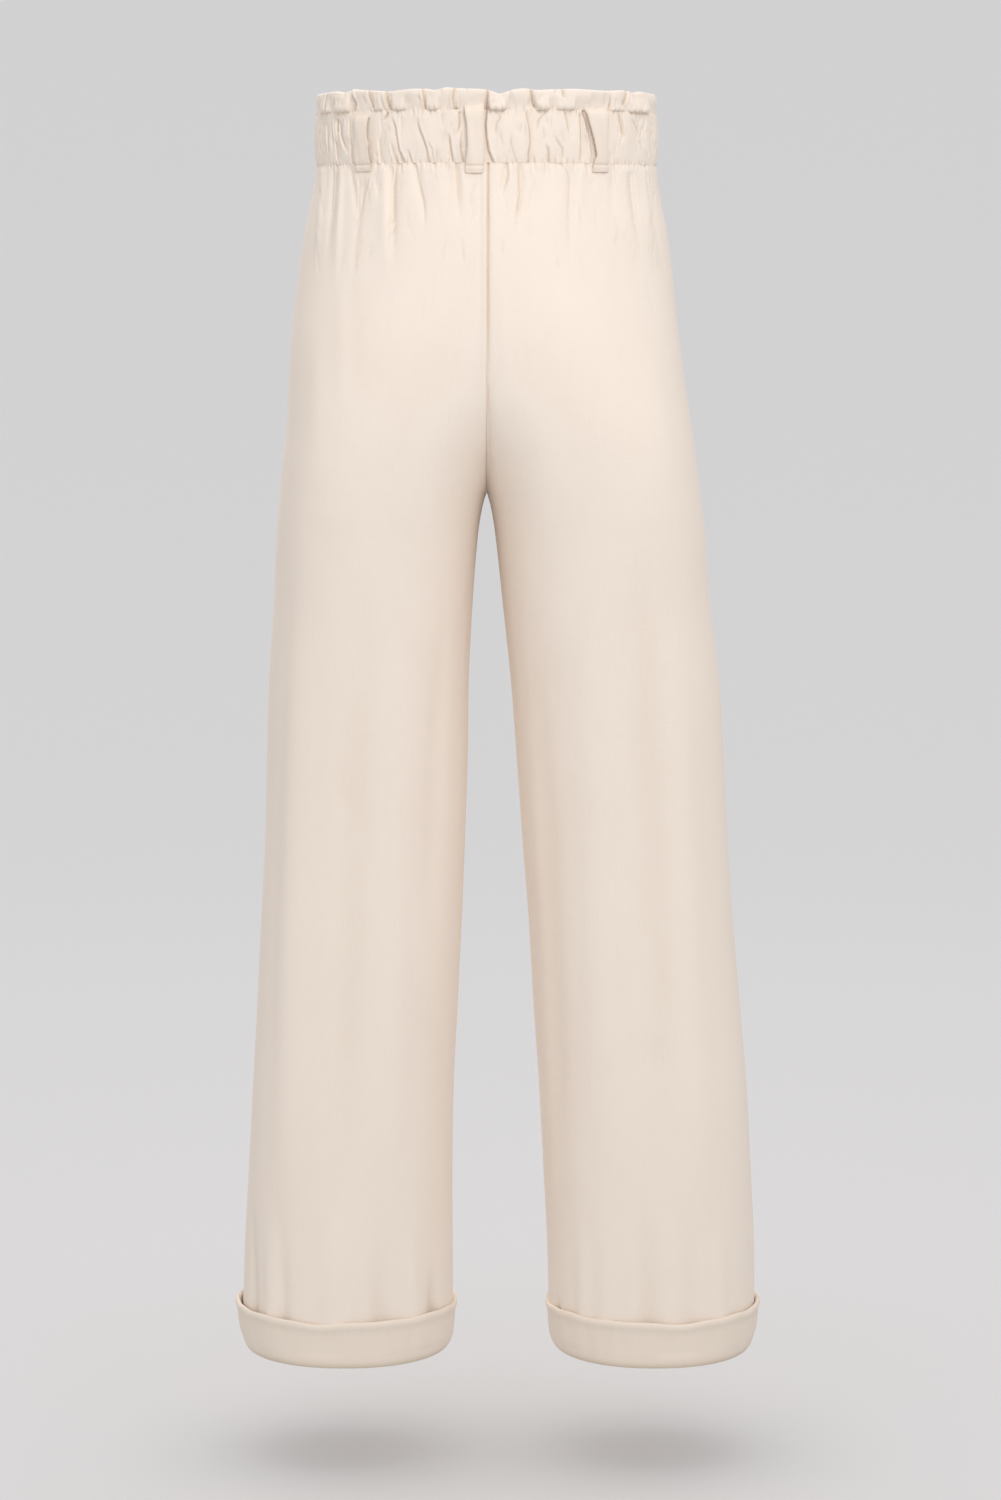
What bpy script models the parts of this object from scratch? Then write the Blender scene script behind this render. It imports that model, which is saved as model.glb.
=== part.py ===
"""Paperbag waist trousers that stand hollow, as they are worn, with no wearer inside.

Metres, +Z up. The front faces -Y, the back +Y, and the wearer's left is +X. The origin is the middle of
the waist, half way up the elastic casing. Each cut piece is a thin wall: two back and two front panels,
the casing and its frill in back and front halves, five belt loops and two turned-up cuffs.
"""

import math
from collections import namedtuple

import bmesh
import bpy
from mathutils import Vector

GARMENT = "paperbag_trousers"

CLOTH = 0.0016  # wall of one layer of twill
DOUBLE_CLOTH = 0.0024  # wall of a folded strip
SEAM_GAP = 0.0007  # space between two pieces at a seam; their inner edges lean to about 0.3 mm apart

CASING_BOTTOM = -0.0200
CASING_TOP = 0.0200
FRILL_HEIGHT = 0.0150
CROTCH = -0.2770
HEM = -0.9740
CUFF_TOP = -0.9355
WAIST_HALF_WIDTH = 0.1335
WAIST_DEPTH = {"back": 0.0960, "front": 0.0940}

LOOP_WIDTH = 0.0140
LOOP_TOP = 0.0175
LOOP_BOTTOM = -0.0275
LOOP_BOW = 0.0030  # how far the middle of a loop arches over the casing
LOOP_SHOULDER = 4.0  # its arch has risen a quarter of the way along
LOOP_REST = 0.0009  # how far its sewn ends stay off the cloth under them

CUFF_WALL = 0.0026
CUFF_REST = 0.0006  # clear space between a cuff's bottom and the leg inside it
CUFF_LIP = 0.0026  # height of the fold that passes under the leg's raw edge

PANEL_COLUMNS = 13
CASING_COLUMNS = 32
CASING_ROWS = 3
FRILL_COLUMNS = 44
FRILL_ROWS = 3
CUFF_COLUMNS = 36
LOOP_COLUMNS = 1
LOOP_ROWS = 8

# Sections of the body and the legs. "left" and "right" are the side seams' distances from the middle
# plane. "parted" is how far the two halves have parted: 0 is one round tube, 1 is two legs that only
# touch, and more is legs with a space between them. "back" and "front" are depths from the side seams,
# "seam" is how far back those seams lie, and "square" is the oval's exponent, 2 for a true ellipse.
Ring = namedtuple("Ring", "z left right left_parted right_parted back front seam square")
RINGS = (
    Ring(CASING_BOTTOM, 0.1335, 0.1335, 0.00, 0.00, 0.0960, 0.0940, 0.000, 2.00),
    Ring(-0.0300, 0.1352, 0.1348, 0.00, 0.00, 0.0978, 0.0952, 0.000, 2.00),
    Ring(-0.0460, 0.1385, 0.1372, 0.00, 0.00, 0.1008, 0.0970, 0.000, 2.02),
    Ring(-0.0700, 0.1435, 0.1425, 0.00, 0.00, 0.1055, 0.0992, 0.000, 2.05),
    Ring(-0.1050, 0.1490, 0.1470, 0.03, 0.03, 0.1108, 0.1015, 0.000, 2.12),
    Ring(-0.1500, 0.1545, 0.1520, 0.18, 0.18, 0.1150, 0.1030, 0.000, 2.28),
    Ring(-0.1950, 0.1570, 0.1580, 0.44, 0.44, 0.1158, 0.1032, 0.000, 2.45),
    Ring(-0.2270, 0.1590, 0.1630, 0.68, 0.68, 0.1140, 0.1026, 0.000, 2.55),
    Ring(-0.2500, 0.1618, 0.1665, 0.84, 0.84, 0.1115, 0.1014, 0.000, 2.60),
    Ring(-0.2650, 0.1635, 0.1685, 0.93, 0.93, 0.1095, 0.1003, 0.000, 2.60),
    Ring(-0.2715, 0.1640, 0.1692, 0.967, 0.967, 0.1086, 0.0998, 0.000, 2.60),
    Ring(-0.2752, 0.1643, 0.1697, 0.989, 0.989, 0.1081, 0.0995, 0.000, 2.59),
    Ring(CROTCH, 0.1645, 0.1700, 1.000, 1.000, 0.1078, 0.0993, 0.000, 2.58),
    Ring(-0.3100, 0.1678, 0.1745, 1.08, 1.05, 0.1028, 0.0957, 0.000, 2.50),
    Ring(-0.3630, 0.1702, 0.1782, 1.14, 1.15, 0.0955, 0.0898, 0.001, 2.37),
    Ring(-0.4280, 0.1748, 0.1866, 1.18, 1.23, 0.0885, 0.0840, 0.002, 2.26),
    Ring(-0.4930, 0.1770, 0.1908, 1.19, 1.29, 0.0836, 0.0793, 0.003, 2.20),
    Ring(-0.5600, 0.1791, 0.1944, 1.22, 1.35, 0.0800, 0.0757, 0.004, 2.20),
    Ring(-0.6240, 0.1827, 0.1992, 1.25, 1.41, 0.0778, 0.0732, 0.006, 2.20),
    Ring(-0.6900, 0.1862, 0.2050, 1.29, 1.45, 0.0763, 0.0714, 0.007, 2.20),
    Ring(-0.7570, 0.1902, 0.2110, 1.33, 1.50, 0.0754, 0.0703, 0.008, 2.20),
    Ring(-0.8230, 0.1940, 0.2148, 1.34, 1.54, 0.0747, 0.0695, 0.009, 2.15),
    Ring(-0.8910, 0.1980, 0.2183, 1.33, 1.58, 0.0742, 0.0690, 0.010, 2.10),
    Ring(HEM, 0.2010, 0.2190, 1.32, 1.61, 0.0740, 0.0690, 0.010, 2.10),
)

# Gathers that leave the casing: where each starts across the waist, how far it stands out (or in, when
# negative), its half width, and how far down it fades away.
Fold = namedtuple("Fold", "across height width length")
FOLDS = {
    "back": (
        Fold(0.1265, 0.0028, 0.0110, 0.110),
        Fold(0.1120, 0.0026, 0.0100, 0.095),
        Fold(0.0960, -0.0024, 0.0100, 0.080),
        Fold(0.0740, 0.0026, 0.0120, 0.085),
        Fold(0.0490, -0.0022, 0.0110, 0.060),
        Fold(0.0240, 0.0024, 0.0120, 0.055),
        Fold(-0.0240, 0.0026, 0.0120, 0.070),
        Fold(-0.0440, -0.0020, 0.0110, 0.065),
        Fold(-0.0660, 0.0028, 0.0120, 0.090),
        Fold(-0.0950, -0.0022, 0.0110, 0.070),
        Fold(-0.1170, 0.0026, 0.0110, 0.120),
    ),
    "front": (
        Fold(0.1200, 0.0026, 0.0110, 0.100),
        Fold(0.0960, -0.0022, 0.0110, 0.075),
        Fold(0.0620, 0.0026, 0.0120, 0.095),
        Fold(0.0380, -0.0020, 0.0110, 0.060),
        Fold(0.0190, 0.0022, 0.0110, 0.070),
        Fold(-0.0230, 0.0026, 0.0120, 0.060),
        Fold(-0.0480, -0.0022, 0.0110, 0.080),
        Fold(-0.0700, 0.0026, 0.0120, 0.090),
        Fold(-0.0980, -0.0022, 0.0110, 0.065),
        Fold(-0.1210, 0.0024, 0.0110, 0.110),
    ),
}
GATHER_RISE = 0.0100  # height over which a gather swells below the casing
SEAM_SHARE = 0.16  # share of a panel's width, beside its inner seam, over which its gathers die away

# Pinches in the frill: where each lies across the waist, how deep it is and how far the top dips there.
Pinch = namedtuple("Pinch", "across depth dip")
PINCHES = {
    "back": (
        Pinch(0.1270, 0.0032, 0.0022),
        Pinch(0.1050, 0.0036, 0.0014),
        Pinch(0.0780, 0.0040, 0.0020),
        Pinch(0.0490, 0.0038, 0.0014),
        Pinch(0.0276, 0.0030, 0.0012),
        Pinch(-0.0080, 0.0044, 0.0030),
        Pinch(-0.0372, 0.0040, 0.0016),
        Pinch(-0.0604, 0.0036, 0.0012),
        Pinch(-0.0860, 0.0028, 0.0010),
        Pinch(-0.1060, 0.0038, 0.0020),
        Pinch(-0.1280, 0.0032, 0.0018),
    ),
    "front": (
        Pinch(0.1260, 0.0032, 0.0016),
        Pinch(0.0980, 0.0036, 0.0020),
        Pinch(0.0700, 0.0040, 0.0014),
        Pinch(0.0400, 0.0036, 0.0022),
        Pinch(0.0120, 0.0042, 0.0014),
        Pinch(-0.0190, 0.0036, 0.0024),
        Pinch(-0.0500, 0.0040, 0.0014),
        Pinch(-0.0770, 0.0034, 0.0020),
        Pinch(-0.1010, 0.0038, 0.0014),
        Pinch(-0.1270, 0.0032, 0.0018),
    ),
}
PINCH_WIDTH = 0.0065
FRILL_FLARE = 0.0020  # how far the frill's top leans out
FRILL_PUFF = 0.0014  # how far it stands out between pinches
CASING_PUFF = 0.0011  # how far the casing's cloth swells over its elastic
CASING_WAVE = 0.0190  # length of one swelling along the waist
CASING_DRIFT = 1.5  # how unevenly the swellings are spaced, in radians of their wave
CASING_BEATS = 9  # how often that spacing tightens and loosens on each half
CASING_END = 0.125  # the angle over which the swellings die away at a side seam

Loop = namedtuple("Loop", "name end across")
LOOPS = (
    Loop("back_left", "back", 0.0930),
    Loop("back_centre", "back", 0.0069),
    Loop("back_right", "back", -0.0875),
    Loop("front_left", "front", 0.0860),
    Loop("front_right", "front", -0.0860),
)
LOOP_CLEARING = 0.0130  # half the width of the cloth that lies flat under a loop
LOOP_CLEAR_DOWN_TO = -0.0350  # how low that flat cloth reaches

# How far the top edge of each cuff stands off its leg, at the outer side and at the inner one.
CUFF_STAND = {"left": (0.0042, 0.0012), "right": (0.0016, 0.0012)}

SIDES = {"left": 1, "right": -1}  # which way each side lies from the middle plane
ENDS = {"back": 1, "front": -1}  # which way each end lies from the side seams
WELD = 1e-6

Section = namedtuple("Section", "middle half back front seam square")
Finish = namedtuple("Finish", "colour roughness")
TWILL = Finish((0.80, 0.70, 0.60, 1.0), 0.88)
TURNED_TWILL = Finish((0.76, 0.66, 0.56, 1.0), 0.88)


def smooth(value):
    """Ease from 0 to 1 as value does, with level ends."""
    value = min(max(value, 0.0), 1.0)
    return value * value * (3.0 - 2.0 * value)


def ring_at(z):
    """The garment's section at height z, on a smooth curve through the table's rows."""
    last = len(RINGS) - 1
    index = next((i for i in range(last) if z >= RINGS[i + 1].z), last - 1)
    before, start, end, after = (RINGS[min(max(index + step, 0), last)] for step in (-1, 0, 1, 2))
    span = end.z - start.z
    share = (z - start.z) / span
    blend = (
        2 * share**3 - 3 * share**2 + 1,
        share**3 - 2 * share**2 + share,
        -2 * share**3 + 3 * share**2,
        share**3 - share**2,
    )
    values = []
    for name in Ring._fields:
        first, second = getattr(start, name), getattr(end, name)
        slope_in = (second - getattr(before, name)) / (end.z - before.z)
        slope_out = (getattr(after, name) - first) / (after.z - start.z)
        terms = (first, slope_in * span, second, slope_out * span)
        values.append(sum(part * term for part, term in zip(blend, terms)))
    return Ring(*values)


def section(side, z):
    """The oval of one half of the garment at height z, from the middle plane to the side seam."""
    ring = ring_at(z)
    parted = max(getattr(ring, side + "_parted"), 0.0)
    half = getattr(ring, side) / (1.0 + parted)
    return Section(parted * half, half, ring.back, ring.front, ring.seam, ring.square)


def around(oval, depth, angle, out):
    """The offset from an oval's middle at this angle, this far out from it."""
    power = oval.square
    reach = abs(math.cos(angle) / oval.half) ** power + abs(math.sin(angle) / depth) ** power
    distance = reach ** (-1.0 / power) + out
    return distance * math.cos(angle), distance * math.sin(angle)


def inner_angle(oval, depth):
    """The angle at which an oval meets the middle plane, or half a turn once it stands clear of it."""
    parted = min(oval.middle / oval.half, 1.0)
    crossing = depth * (1.0 - parted**oval.square) ** (1.0 / oval.square)
    return math.atan2(crossing, -parted * oval.half)


def waist_angle(across):
    """The angle round the waist at which a point lies this far to the left of its middle."""
    return math.acos(min(max(across / WAIST_HALF_WIDTH, -1.0), 1.0))


def clearing(across, end):
    """0 under a belt loop and 1 away from it."""
    gaps = [abs(across - loop.across) for loop in LOOPS if loop.end == end]
    return smooth(min(gaps) / LOOP_CLEARING - 1.0)


def gather(side, end, share, z):
    """How far the panel's gathers lift it, at this share of the way from its inner edge to its side seam."""
    waist = section(side, CASING_BOTTOM)
    depth = WAIST_DEPTH[end]
    across = SIDES[side] * around(waist, depth, math.pi / 2 * (1.0 - share), 0.0)[0]
    drop = CASING_BOTTOM - z
    total = 0.0
    for fold in FOLDS[end]:
        apart = (waist_angle(across) - waist_angle(fold.across)) * depth / fold.width
        total += fold.height * math.exp(-apart * apart) * (1.0 - smooth(drop / fold.length))
    if z > LOOP_CLEAR_DOWN_TO:
        total *= clearing(across, end)
    return total * smooth(drop / GATHER_RISE) * smooth(share / SEAM_SHARE)


def panel_point(side, end, share, z):
    """A point of the outer face of a body panel."""
    oval = section(side, z)
    depth = getattr(oval, end)
    angle = inner_angle(oval, depth) * (1.0 - share)
    across, away = around(oval, depth, angle, gather(side, end, share, z))
    x = max(oval.middle + across, 0.0) + SEAM_GAP / 2
    y = away + SEAM_GAP / 2
    return (SIDES[side] * x, oval.seam + ENDS[end] * y, z)


def panel_heights():
    """The heights of a panel's rings, from the casing down to the fold of the cuff."""
    heights = [ring.z for ring in RINGS]
    heights[0] -= SEAM_GAP
    heights[-1] += CUFF_LIP + SEAM_GAP
    return heights


def waist_point(end, angle, z, out):
    """A point round the waist, at this distance out from the casing's plain face."""
    depth = WAIST_DEPTH[end]
    normal_x = math.cos(angle) / WAIST_HALF_WIDTH
    normal_y = math.sin(angle) / depth
    length = math.hypot(normal_x, normal_y)
    x = WAIST_HALF_WIDTH * math.cos(angle) + out * normal_x / length
    y = depth * math.sin(angle) + out * normal_y / length + SEAM_GAP / 2
    return (x, ENDS[end] * y, z)


def casing_point(end, turn, rise):
    """A point of the casing, at this share of its half turn and of its height."""
    angle = math.pi * turn
    across = WAIST_HALF_WIDTH * math.cos(angle)
    phase = 2 * math.pi * across / CASING_WAVE + CASING_DRIFT * math.sin(CASING_BEATS * angle)
    swell = math.sin(math.pi * rise) * smooth(min(angle, math.pi - angle) / CASING_END)
    out = CASING_PUFF * (0.5 + 0.5 * math.sin(phase)) * swell * clearing(across, end)
    return waist_point(end, angle, CASING_BOTTOM + (CASING_TOP - CASING_BOTTOM) * rise, out)


def frill_point(end, turn, rise):
    """A point of the frill, at this share of its half turn and of its height."""
    angle = math.pi * turn
    pinched, dip = 0.0, 0.0
    for pinch in PINCHES[end]:
        apart = (angle - waist_angle(pinch.across)) * WAIST_HALF_WIDTH / PINCH_WIDTH
        near = math.exp(-apart * apart)
        pinched = max(pinched, pinch.depth * near)
        dip = max(dip, pinch.dip * near)
    out = (FRILL_FLARE + FRILL_PUFF - pinched) * smooth(rise)
    return waist_point(end, angle, CASING_TOP + SEAM_GAP + (FRILL_HEIGHT - dip) * rise, out)


def loop_point(loop, share_across, share_down):
    """A point of the outer face of a belt loop, flat across and arched over the casing."""
    z = LOOP_TOP + (LOOP_BOTTOM - LOOP_TOP) * share_down
    angle = waist_angle(loop.across)
    foot = Vector(waist_point(loop.end, angle, z, 0.0))
    outward = Vector(waist_point(loop.end, angle, z, 1.0)) - foot
    sideways = outward.cross(Vector((0.0, 0.0, 1.0)))
    widened = section("left", min(z, CASING_BOTTOM)).half - WAIST_HALF_WIDTH
    arch = LOOP_BOW * smooth(LOOP_SHOULDER * min(share_down, 1.0 - share_down))
    sweep = LOOP_WIDTH * (share_across - 0.5)
    return foot + outward * (LOOP_REST + CLOTH + widened + arch) + sideways * sweep


def cuff_profile():
    """The closed outline of a cuff's wall: distance out from the leg, height, and share of its stand-off."""
    inner, outer = CUFF_REST, CUFF_REST + CUFF_WALL
    half_way = (HEM + CUFF_TOP) / 2
    return (
        (-CLOTH, HEM, 0.0),
        (outer * 0.5, HEM, 0.0),
        (outer * 0.9, HEM + outer * 0.35, 0.0),
        (outer, HEM + outer, 0.1),
        (outer, half_way, 0.7),
        (outer, CUFF_TOP - CUFF_WALL * 0.7, 1.0),
        (outer * 0.8, CUFF_TOP - CUFF_WALL * 0.15, 1.0),
        ((inner + outer) / 2, CUFF_TOP, 1.0),
        (inner, CUFF_TOP - CUFF_WALL * 0.3, 1.0),
        (inner, half_way, 0.7),
        (inner, HEM + CUFF_LIP * 2, 0.1),
        (inner, HEM + CUFF_LIP, 0.0),
        (-CLOTH, HEM + CUFF_LIP, 0.0),
    )


def cuff_point(side, angle, corner):
    """A point of a cuff at this angle, for one corner of its outline."""
    out, z, stand = corner
    oval = section(side, z)
    outer_stand, inner_stand = CUFF_STAND[side]
    facing_out = 0.5 + 0.5 * math.cos(angle)
    out += stand * (inner_stand + (outer_stand - inner_stand) * facing_out)
    depth = oval.back if math.sin(angle) > 0 else oval.front
    across, away = around(oval, depth, angle, out + SEAM_GAP / 2)
    return (SIDES[side] * (oval.middle + across + SEAM_GAP / 2), oval.seam + away, z)


def net(columns, rows, point):
    """An open net of cloth, with each of its corners moved to point(column, row)."""
    shape = bmesh.new()
    bmesh.ops.create_grid(shape, x_segments=columns, y_segments=rows, size=0.5)
    for corner in shape.verts:
        column = round((corner.co.x + 0.5) * columns)
        row = round((corner.co.y + 0.5) * rows)
        corner.co = point(column, row)
    return shape


def add_wall(name, shape, axis, wall, finish):
    """A wall of cloth from a net of its outer face, thickened towards the upright axis it surrounds."""
    shape.faces.ensure_lookup_table()
    shape.normal_update()
    top = max(shape.faces, key=lambda face: face.calc_center_median().z)
    middle = top.calc_center_median()
    if top.normal.dot(middle - Vector((axis, 0.0, middle.z))) < 0:
        bmesh.ops.reverse_faces(shape, faces=shape.faces)
    piece = add_piece(name, shape, finish)
    thickness = piece.modifiers.new("wall", "SOLIDIFY")
    thickness.thickness = wall
    thickness.offset = -1.0


def add_piece(name, shape, finish):
    """A named object of the garment, with a material of its own."""
    mesh = bpy.data.meshes.new(name)
    shape.to_mesh(mesh)
    shape.free()
    mesh.shade_smooth()
    material = bpy.data.materials.new(name + "_cloth")
    material.use_nodes = True
    shader = material.node_tree.nodes["Principled BSDF"]
    shader.inputs["Base Color"].default_value = finish.colour
    shader.inputs["Roughness"].default_value = finish.roughness
    shader.inputs["Metallic"].default_value = 0.0
    mesh.materials.append(material)
    piece = bpy.data.objects.new(name, mesh)
    bpy.data.collections[GARMENT].objects.link(piece)
    return piece


def add_panels():
    """The four body panels, each a half of one leg and a quarter of the body above it."""
    heights = panel_heights()
    for side in SIDES:
        middle = section(side, CROTCH).middle * SIDES[side]
        for end in ENDS:

            def point(column, row, side=side, end=end):
                return panel_point(side, end, column / PANEL_COLUMNS, heights[row])

            shape = net(PANEL_COLUMNS, len(heights) - 1, point)
            add_wall(f"{end}_{side}", shape, middle, CLOTH, TWILL)


def add_waist():
    """The elastic casing and the frill that stands above it, each in a back and a front half."""
    for end in ENDS:

        def casing(column, row, end=end):
            return casing_point(end, column / CASING_COLUMNS, row / CASING_ROWS)

        def frill(column, row, end=end):
            return frill_point(end, column / FRILL_COLUMNS, row / FRILL_ROWS)

        add_wall(f"casing_{end}", net(CASING_COLUMNS, CASING_ROWS, casing), 0.0, DOUBLE_CLOTH, TWILL)
        add_wall(f"frill_{end}", net(FRILL_COLUMNS, FRILL_ROWS, frill), 0.0, DOUBLE_CLOTH, TWILL)


def add_loops():
    """The belt loops, sewn on at the top and the bottom of the casing."""
    for loop in LOOPS:

        def point(column, row, loop=loop):
            return loop_point(loop, column / LOOP_COLUMNS, row / LOOP_ROWS)

        add_wall(f"belt_loop_{loop.name}", net(LOOP_COLUMNS, LOOP_ROWS, point), 0.0, CLOTH, TURNED_TWILL)


def add_cuffs():
    """The turned-up cuffs, each a ring whose fold passes under the end of its leg."""
    profile = cuff_profile()
    for side in SIDES:

        def point(column, row, side=side):
            angle = 2 * math.pi * (column % CUFF_COLUMNS) / CUFF_COLUMNS
            return cuff_point(side, angle, profile[row % len(profile)])

        shape = net(CUFF_COLUMNS, len(profile), point)
        bmesh.ops.remove_doubles(shape, verts=shape.verts, dist=WELD)
        bmesh.ops.recalc_face_normals(shape, faces=shape.faces)
        add_piece(f"cuff_{side}", shape, TURNED_TWILL)


def main():
    for old in list(bpy.data.objects):
        bpy.data.objects.remove(old)
    garment = bpy.data.collections.new(GARMENT)
    bpy.context.scene.collection.children.link(garment)
    add_panels()
    add_waist()
    add_loops()
    add_cuffs()


main()
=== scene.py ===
"""Paperbag waist trousers in cream cotton twill, standing hollow as they are worn and seen from behind.

Metres, +Z up. The back faces +Y, the wearer's left is +X, and the origin is the middle of the waist, half
way up its elastic casing.
"""

import logging
import math
from dataclasses import dataclass, field
from enum import Enum
from typing import NamedTuple, Sequence

import bmesh
import bpy
import numpy as np
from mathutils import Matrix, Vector


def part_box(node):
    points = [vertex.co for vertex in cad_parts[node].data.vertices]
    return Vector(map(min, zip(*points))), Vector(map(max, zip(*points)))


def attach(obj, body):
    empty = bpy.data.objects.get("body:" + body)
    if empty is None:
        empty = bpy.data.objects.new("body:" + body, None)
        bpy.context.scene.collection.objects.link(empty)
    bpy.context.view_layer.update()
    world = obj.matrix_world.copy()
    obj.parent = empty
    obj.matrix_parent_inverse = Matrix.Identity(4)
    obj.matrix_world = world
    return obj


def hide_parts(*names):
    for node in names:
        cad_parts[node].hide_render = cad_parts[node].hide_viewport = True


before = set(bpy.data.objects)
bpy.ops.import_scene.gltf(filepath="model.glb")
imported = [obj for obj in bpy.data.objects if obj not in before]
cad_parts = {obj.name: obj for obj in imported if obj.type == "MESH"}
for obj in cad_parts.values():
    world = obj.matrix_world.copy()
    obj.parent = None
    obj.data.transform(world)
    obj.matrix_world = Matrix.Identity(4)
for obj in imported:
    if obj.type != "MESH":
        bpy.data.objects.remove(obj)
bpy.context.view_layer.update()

LOG = logging.getLogger("trousers")
BODY = "root"
WELD = 1e-6
CLOTH = 0.0010  # one layer of twill
HALF_GAP = 0.00015  # how far the back and the front halves keep from their meeting plane
GATHERED = 1.9  # flat cloth for each unit of gathered cloth, which sets how fine its weave shows
WAIST_STITCH = 20  # first seed of the gathers below the casing
FRILL_STITCH = 30  # first seed of the gathers above it


class Side(Enum):
    """A side of the wearer, with the way it lies from the middle plane."""

    LEFT = 1
    RIGHT = -1

    @property
    def label(self) -> str:
        """The side's name as the nodes give it."""
        return self.name.lower()


class End(Enum):
    """The back or the front, with the way it lies from the side seams."""

    BACK = 1
    FRONT = -1

    @property
    def label(self) -> str:
        """The end's name as the nodes give it."""
        return self.name.lower()


class Slot(Enum):
    """The material slots that the pieces are labelled with."""

    PANEL = "panel"
    CASING = "casing"
    TRIM = "trim"
    CUFF = "cuff"


def smooth(value: np.ndarray) -> np.ndarray:
    """Ease from 0 to 1 as each value does, with level ends."""
    value = np.clip(value, 0.0, 1.0)
    return value * value * (3.0 - 2.0 * value)


def bell(distance: np.ndarray, width: np.ndarray) -> np.ndarray:
    """A soft hump of height 1 that fades over this width on each side."""
    return np.exp(-((distance / width) ** 2))


def box_of(*nodes: str) -> tuple[Vector, Vector]:
    """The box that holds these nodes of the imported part.

    Args:
        nodes: the nodes' names.

    Returns:
        The lowest and the highest corner.
    """
    corners = [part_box(node) for node in nodes]
    low = Vector(min(corner[0][axis] for corner in corners) for axis in range(3))
    high = Vector(max(corner[1][axis] for corner in corners) for axis in range(3))
    return low, high


CASING_LOW, CASING_HIGH = box_of("casing_back", "casing_front")
CUFF_LOW, CUFF_HIGH = box_of("cuff_left", "cuff_right")


# ---------- The form that the cloth hangs in ----------


class Ring(NamedTuple):
    """A section of the garment.

    left and right are the side seams' distances from the middle plane, and the parted values say how far
    the halves have come apart: 0 is one tube, 1 is two legs that only touch. back and front are depths
    from the side seams, seam is how far back those lie, and square is the oval's exponent.
    """

    z: float
    left: float
    right: float
    left_parted: float
    right_parted: float
    back: float
    front: float
    seam: float
    square: float


RINGS = (
    Ring(-0.0200, 0.1335, 0.1335, 0.00, 0.00, 0.0960, 0.0940, 0.000, 2.00),
    Ring(-0.0300, 0.1352, 0.1348, 0.00, 0.00, 0.0978, 0.0952, 0.000, 2.00),
    Ring(-0.0460, 0.1385, 0.1372, 0.00, 0.00, 0.1008, 0.0970, 0.000, 2.02),
    Ring(-0.0700, 0.1435, 0.1425, 0.00, 0.00, 0.1055, 0.0992, 0.000, 2.05),
    Ring(-0.1050, 0.1490, 0.1470, 0.03, 0.03, 0.1108, 0.1015, 0.000, 2.12),
    Ring(-0.1500, 0.1545, 0.1520, 0.18, 0.18, 0.1150, 0.1030, 0.000, 2.28),
    Ring(-0.1950, 0.1570, 0.1580, 0.44, 0.44, 0.1158, 0.1032, 0.000, 2.45),
    Ring(-0.2270, 0.1590, 0.1630, 0.70, 0.70, 0.1140, 0.1026, 0.000, 2.55),
    Ring(-0.2500, 0.1617, 0.1664, 0.865, 0.865, 0.1115, 0.1013, 0.000, 2.60),
    Ring(-0.2650, 0.1633, 0.1684, 0.945, 0.945, 0.1097, 0.1004, 0.000, 2.60),
    Ring(-0.2770, 0.1645, 0.1700, 1.000, 1.000, 0.1080, 0.0995, 0.000, 2.58),
    Ring(-0.2900, 0.1658, 0.1717, 1.045, 1.042, 0.1061, 0.0982, 0.000, 2.56),
    Ring(-0.3100, 0.1677, 0.1742, 1.085, 1.080, 0.1030, 0.0959, 0.000, 2.50),
    Ring(-0.3630, 0.1702, 0.1782, 1.14, 1.15, 0.0955, 0.0898, 0.001, 2.37),
    Ring(-0.4280, 0.1748, 0.1866, 1.18, 1.23, 0.0885, 0.0840, 0.002, 2.26),
    Ring(-0.4930, 0.1770, 0.1908, 1.19, 1.29, 0.0836, 0.0793, 0.003, 2.20),
    Ring(-0.5600, 0.1791, 0.1944, 1.22, 1.35, 0.0800, 0.0757, 0.004, 2.20),
    Ring(-0.6240, 0.1827, 0.1992, 1.25, 1.41, 0.0778, 0.0732, 0.006, 2.20),
    Ring(-0.6900, 0.1862, 0.2050, 1.29, 1.45, 0.0763, 0.0714, 0.007, 2.20),
    Ring(-0.7570, 0.1902, 0.2110, 1.33, 1.50, 0.0754, 0.0703, 0.008, 2.20),
    Ring(-0.8230, 0.1940, 0.2148, 1.34, 1.54, 0.0747, 0.0695, 0.009, 2.15),
    Ring(-0.8910, 0.1980, 0.2183, 1.33, 1.58, 0.0742, 0.0690, 0.010, 2.10),
    Ring(-0.9740, 0.2010, 0.2190, 1.32, 1.61, 0.0740, 0.0690, 0.010, 2.10),
)
WAIST = RINGS[0]
HEM = RINGS[-1].z
CROTCH = next(ring.z for ring in RINGS if ring.left_parted == 1.0)


class Places(NamedTuple):
    """Points of cloth: where they lie, which way out is, and how far along the cut they are."""

    points: np.ndarray
    outward: np.ndarray
    along: np.ndarray
    width: np.ndarray


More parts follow.
